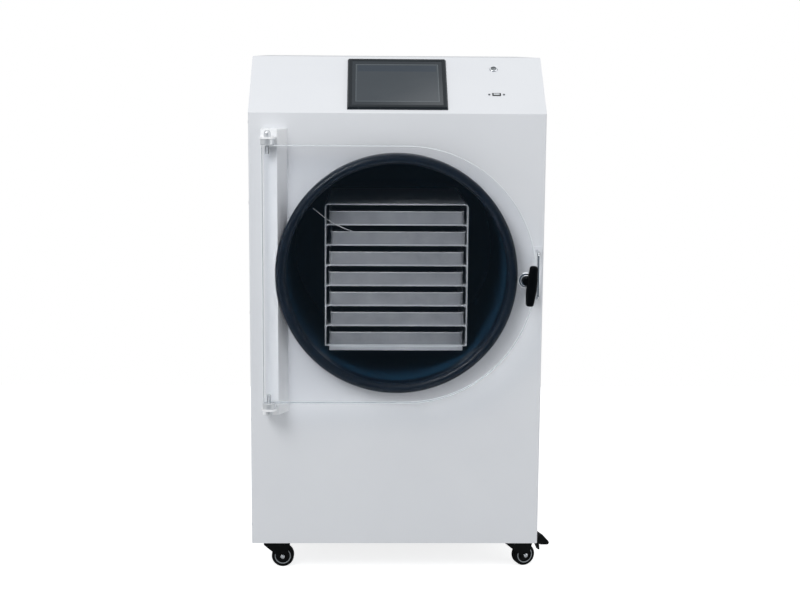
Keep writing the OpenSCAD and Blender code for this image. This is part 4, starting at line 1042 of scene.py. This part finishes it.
@dataclass
class Fasteners(Fitting):
    """Screws of the side and back sheets, and the caps and rings of the casters' wheels."""
    side_levels: tuple[float, ...] = (0.11, 0.36, 0.61, 0.86, 1.04)
    back_levels: tuple[float, ...] = (0.11, 0.42, 0.73, 1.04)
    edge: float = 10 * MM
    side_sheet: float = 1.5 * MM
    head: float = 4.6 * MM
    axle_reach: float = 16 * MM
    wheel_half: float = 10 * MM
    # How far each caster is swivelled at rest
    turns: tuple[float, ...] = (0.0, math.radians(20.0), 0.0, 0.0)

    def pan_head(self) -> Object:
        """Makes a pan-head screw with a cross recess.

        Returns:
            The screw's head around the origin, with its top towards +Z.
        """
        # Radius and level of the dome's corners, in radii of the head
        dome = ((0.0, 0.0), (1.0, 0.0), (1.0, 0.25), (0.92, 0.42), (0.7, 0.52), (0.0, 0.56))
        shape = bmesh.new()
        revolve(shape, [(radius * self.head, level * self.head) for radius, level in dome],
                Vector((0, 0, 0)), Vector((0, 0, 1)), steps=20)
        head = mesh_piece("pan_head", shape, self.finishes["zinc"])
        for turn in (0.0, math.pi / 2):
            cut = bmesh.new()
            add_block(cut, (1.1 * self.head, 0.22 * self.head, 0.5 * self.head),
                      Matrix.Translation((0, 0, 0.56 * self.head)) @ Matrix.Rotation(turn, 4, "Z"))
            tool = mesh_piece("recess", cut, self.finishes["zinc"])
            carve = head.modifiers.new("recess", "BOOLEAN")
            carve.operation, carve.object, carve.solver = "DIFFERENCE", tool, "EXACT"
            head.data = bake(head, carve)
            bpy.data.objects.remove(tool)
        return head

    def add_panel_screws(self) -> None:
        """Puts screws along the edges of the side and back sheets."""
        points = []
        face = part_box("right_side_panel")[0][0] + self.side_sheet
        for side, name in ((-1, "left_side_panel"), (1, "right_side_panel")):
            low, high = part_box(name)
            edges = (low[1] + self.edge, high[1] - self.edge)
            points += [(Vector((face * side, y, z)), Vector((side, 0, 0)))
                       for y in edges for z in self.side_levels]
        low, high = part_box("back_panel")
        points += [(Vector((x, high[1], z)), Vector((0, 1, 0)))
                   for x in (low[0] + self.edge, high[0] - self.edge) for z in self.back_levels]
        screws = copy_form("sheet_screws", self.pan_head(), points)
        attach(screws, "cabinet")

    def turn_on_wheel(self, name: str, profile_mm: Profile, reach: float, steps: int) -> BMesh:
        """Turns the same form onto both sides of a caster's wheel.

        Args:
            name: The caster's name.
            profile_mm: (radius, distance outwards) points in order.
            reach: How far from the wheel's middle the profile starts.
            steps: Number of faces round it.

        Returns:
            Both forms, in place.
        """
        turn = self.turns[CASTERS.index(name)]
        middle = centre(name + "_rim")
        along = Vector((-math.sin(turn), math.cos(turn), 0.0))
        shape = bmesh.new()
        for way in (-1, 1):
            revolve(shape, metres(profile_mm), middle + way * reach * along, way * along, steps)
        return shape

    def add_axle_caps(self) -> None:
        """Rivets a domed cap on both ends of each caster's axle."""
        dome_mm = ((5.2, 0), (5.0, 0.7), (4.0, 1.3), (2.2, 1.6), (0, 1.7))
        for name in CASTERS:
            shape = self.turn_on_wheel(name, dome_mm, self.axle_reach, 24)
            cap = mesh_piece(name + "_axle_caps", shape, self.finishes["chrome"], smooth=True)
            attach(cap, name + "_swivel")

    def add_wheel_rings(self) -> None:
        """Lays a bright ring round both faces of each wheel's core, inside the tread."""
        ring_mm = ((16.6, -1), (16.8, 0.3), (17.2, 0.6), (18.4, 0.6), (18.8, 0.3), (18.9, -1))
        for name in CASTERS:
            shape = self.turn_on_wheel(name, ring_mm, self.wheel_half, 48)
            ring = mesh_piece(name + "_wheel_rings", shape, self.finishes["ring"], smooth=True)
            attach(ring, name + "_wheel")

    def build(self) -> None:
        """Builds all the fasteners."""
        self.add_panel_screws()
        self.add_axle_caps()
        self.add_wheel_rings()


# ---- Machinery ----

@dataclass
class Condenser(Fitting):
    """Finned block: thin wavy plates on a column of tubes between two end plates."""
    fin_pitch: float = 3.2 * MM
    fin_sheet: float = 0.4 * MM
    fin_margin: float = 4 * MM
    fin_space: float = 16 * MM
    fin_wave: float = 0.5 * MM
    wave_length: float = 50 * MM
    tube: float = 4.7 * MM
    tube_margin: float = 25 * MM
    rows: int = 5
    end_margin: float = 7 * MM
    end_sheet: float = 1.6 * MM

    def add_fins(self) -> None:
        """Copies the plates along the tubes."""
        low, high = (Vector(corner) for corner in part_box("condenser"))
        size, middle = high - low, centre("condenser")
        shape = bmesh.new()
        add_block(shape, (size.z - self.fin_margin, size.y - self.fin_margin, self.fin_sheet))
        for edge in [e for e in shape.edges if abs(e.verts[0].co.x - e.verts[1].co.x) > 0.1]:
            bmesh.ops.bisect_edges(shape, edges=[edge], cuts=11)
        for vertex in shape.verts:
            vertex.co.z += self.fin_wave * math.sin(vertex.co.x * 2 * math.pi / self.wave_length)
        fin = mesh_piece("fin", shape, self.finishes["fins"])
        count = int((size.x - self.fin_space) / self.fin_pitch)
        points = [(Vector((middle.x + (i - (count - 1) / 2) * self.fin_pitch, middle.y, middle.z)),
                   Vector((1, 0, 0))) for i in range(count)]
        fins = copy_form("condenser_fins", fin, points)
        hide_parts("condenser")
        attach(fins, "cabinet")

    def add_tubes(self) -> None:
        """Runs the straight tubes through the fins and adds the end plates."""
        low, high = (Vector(corner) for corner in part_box("condenser"))
        size, middle = high - low, centre("condenser")
        pitch = (size.z - 2 * self.tube_margin) / (self.rows - 1)
        shape = bmesh.new()
        for i in range(self.rows):
            revolve(shape, [(0.0, 0.0), (self.tube, 0.0), (self.tube, size.x), (0.0, size.x)],
                    Vector((low.x, middle.y, low.z + self.tube_margin + i * pitch)),
                    Vector((1, 0, 0)), steps=16)
        tubes = mesh_piece("condenser_tubes", shape, self.finishes["copper"])
        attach(tubes, "cabinet")
        shape = bmesh.new()
        for x in (low.x + self.end_margin, high.x - self.end_margin):
            add_block(shape, (self.end_sheet, size.y, size.z),
                      Matrix.Translation((x, middle.y, middle.z)))
        round_edges(shape, 0.4 * MM)
        plates = mesh_piece("condenser_end_plates", shape, self.finishes["zinc"])
        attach(plates, "cabinet")

    def build(self) -> None:
        """Builds the condenser."""
        self.add_fins()
        self.add_tubes()


def main() -> None:
    """Builds the studio, the finishes and the fittings in order."""
    logging.basicConfig(level=logging.INFO, format="%(name)s: %(message)s")
    Studio().build()
    finishes = {name: finish.build() for name, finish in FINISHES.items()}
    dress(finishes)
    for fitting in (Probe, Chamber, Door, Console, Fasteners, Condenser):
        fitting(finishes).build()


if __name__ == "__main__":
    main()
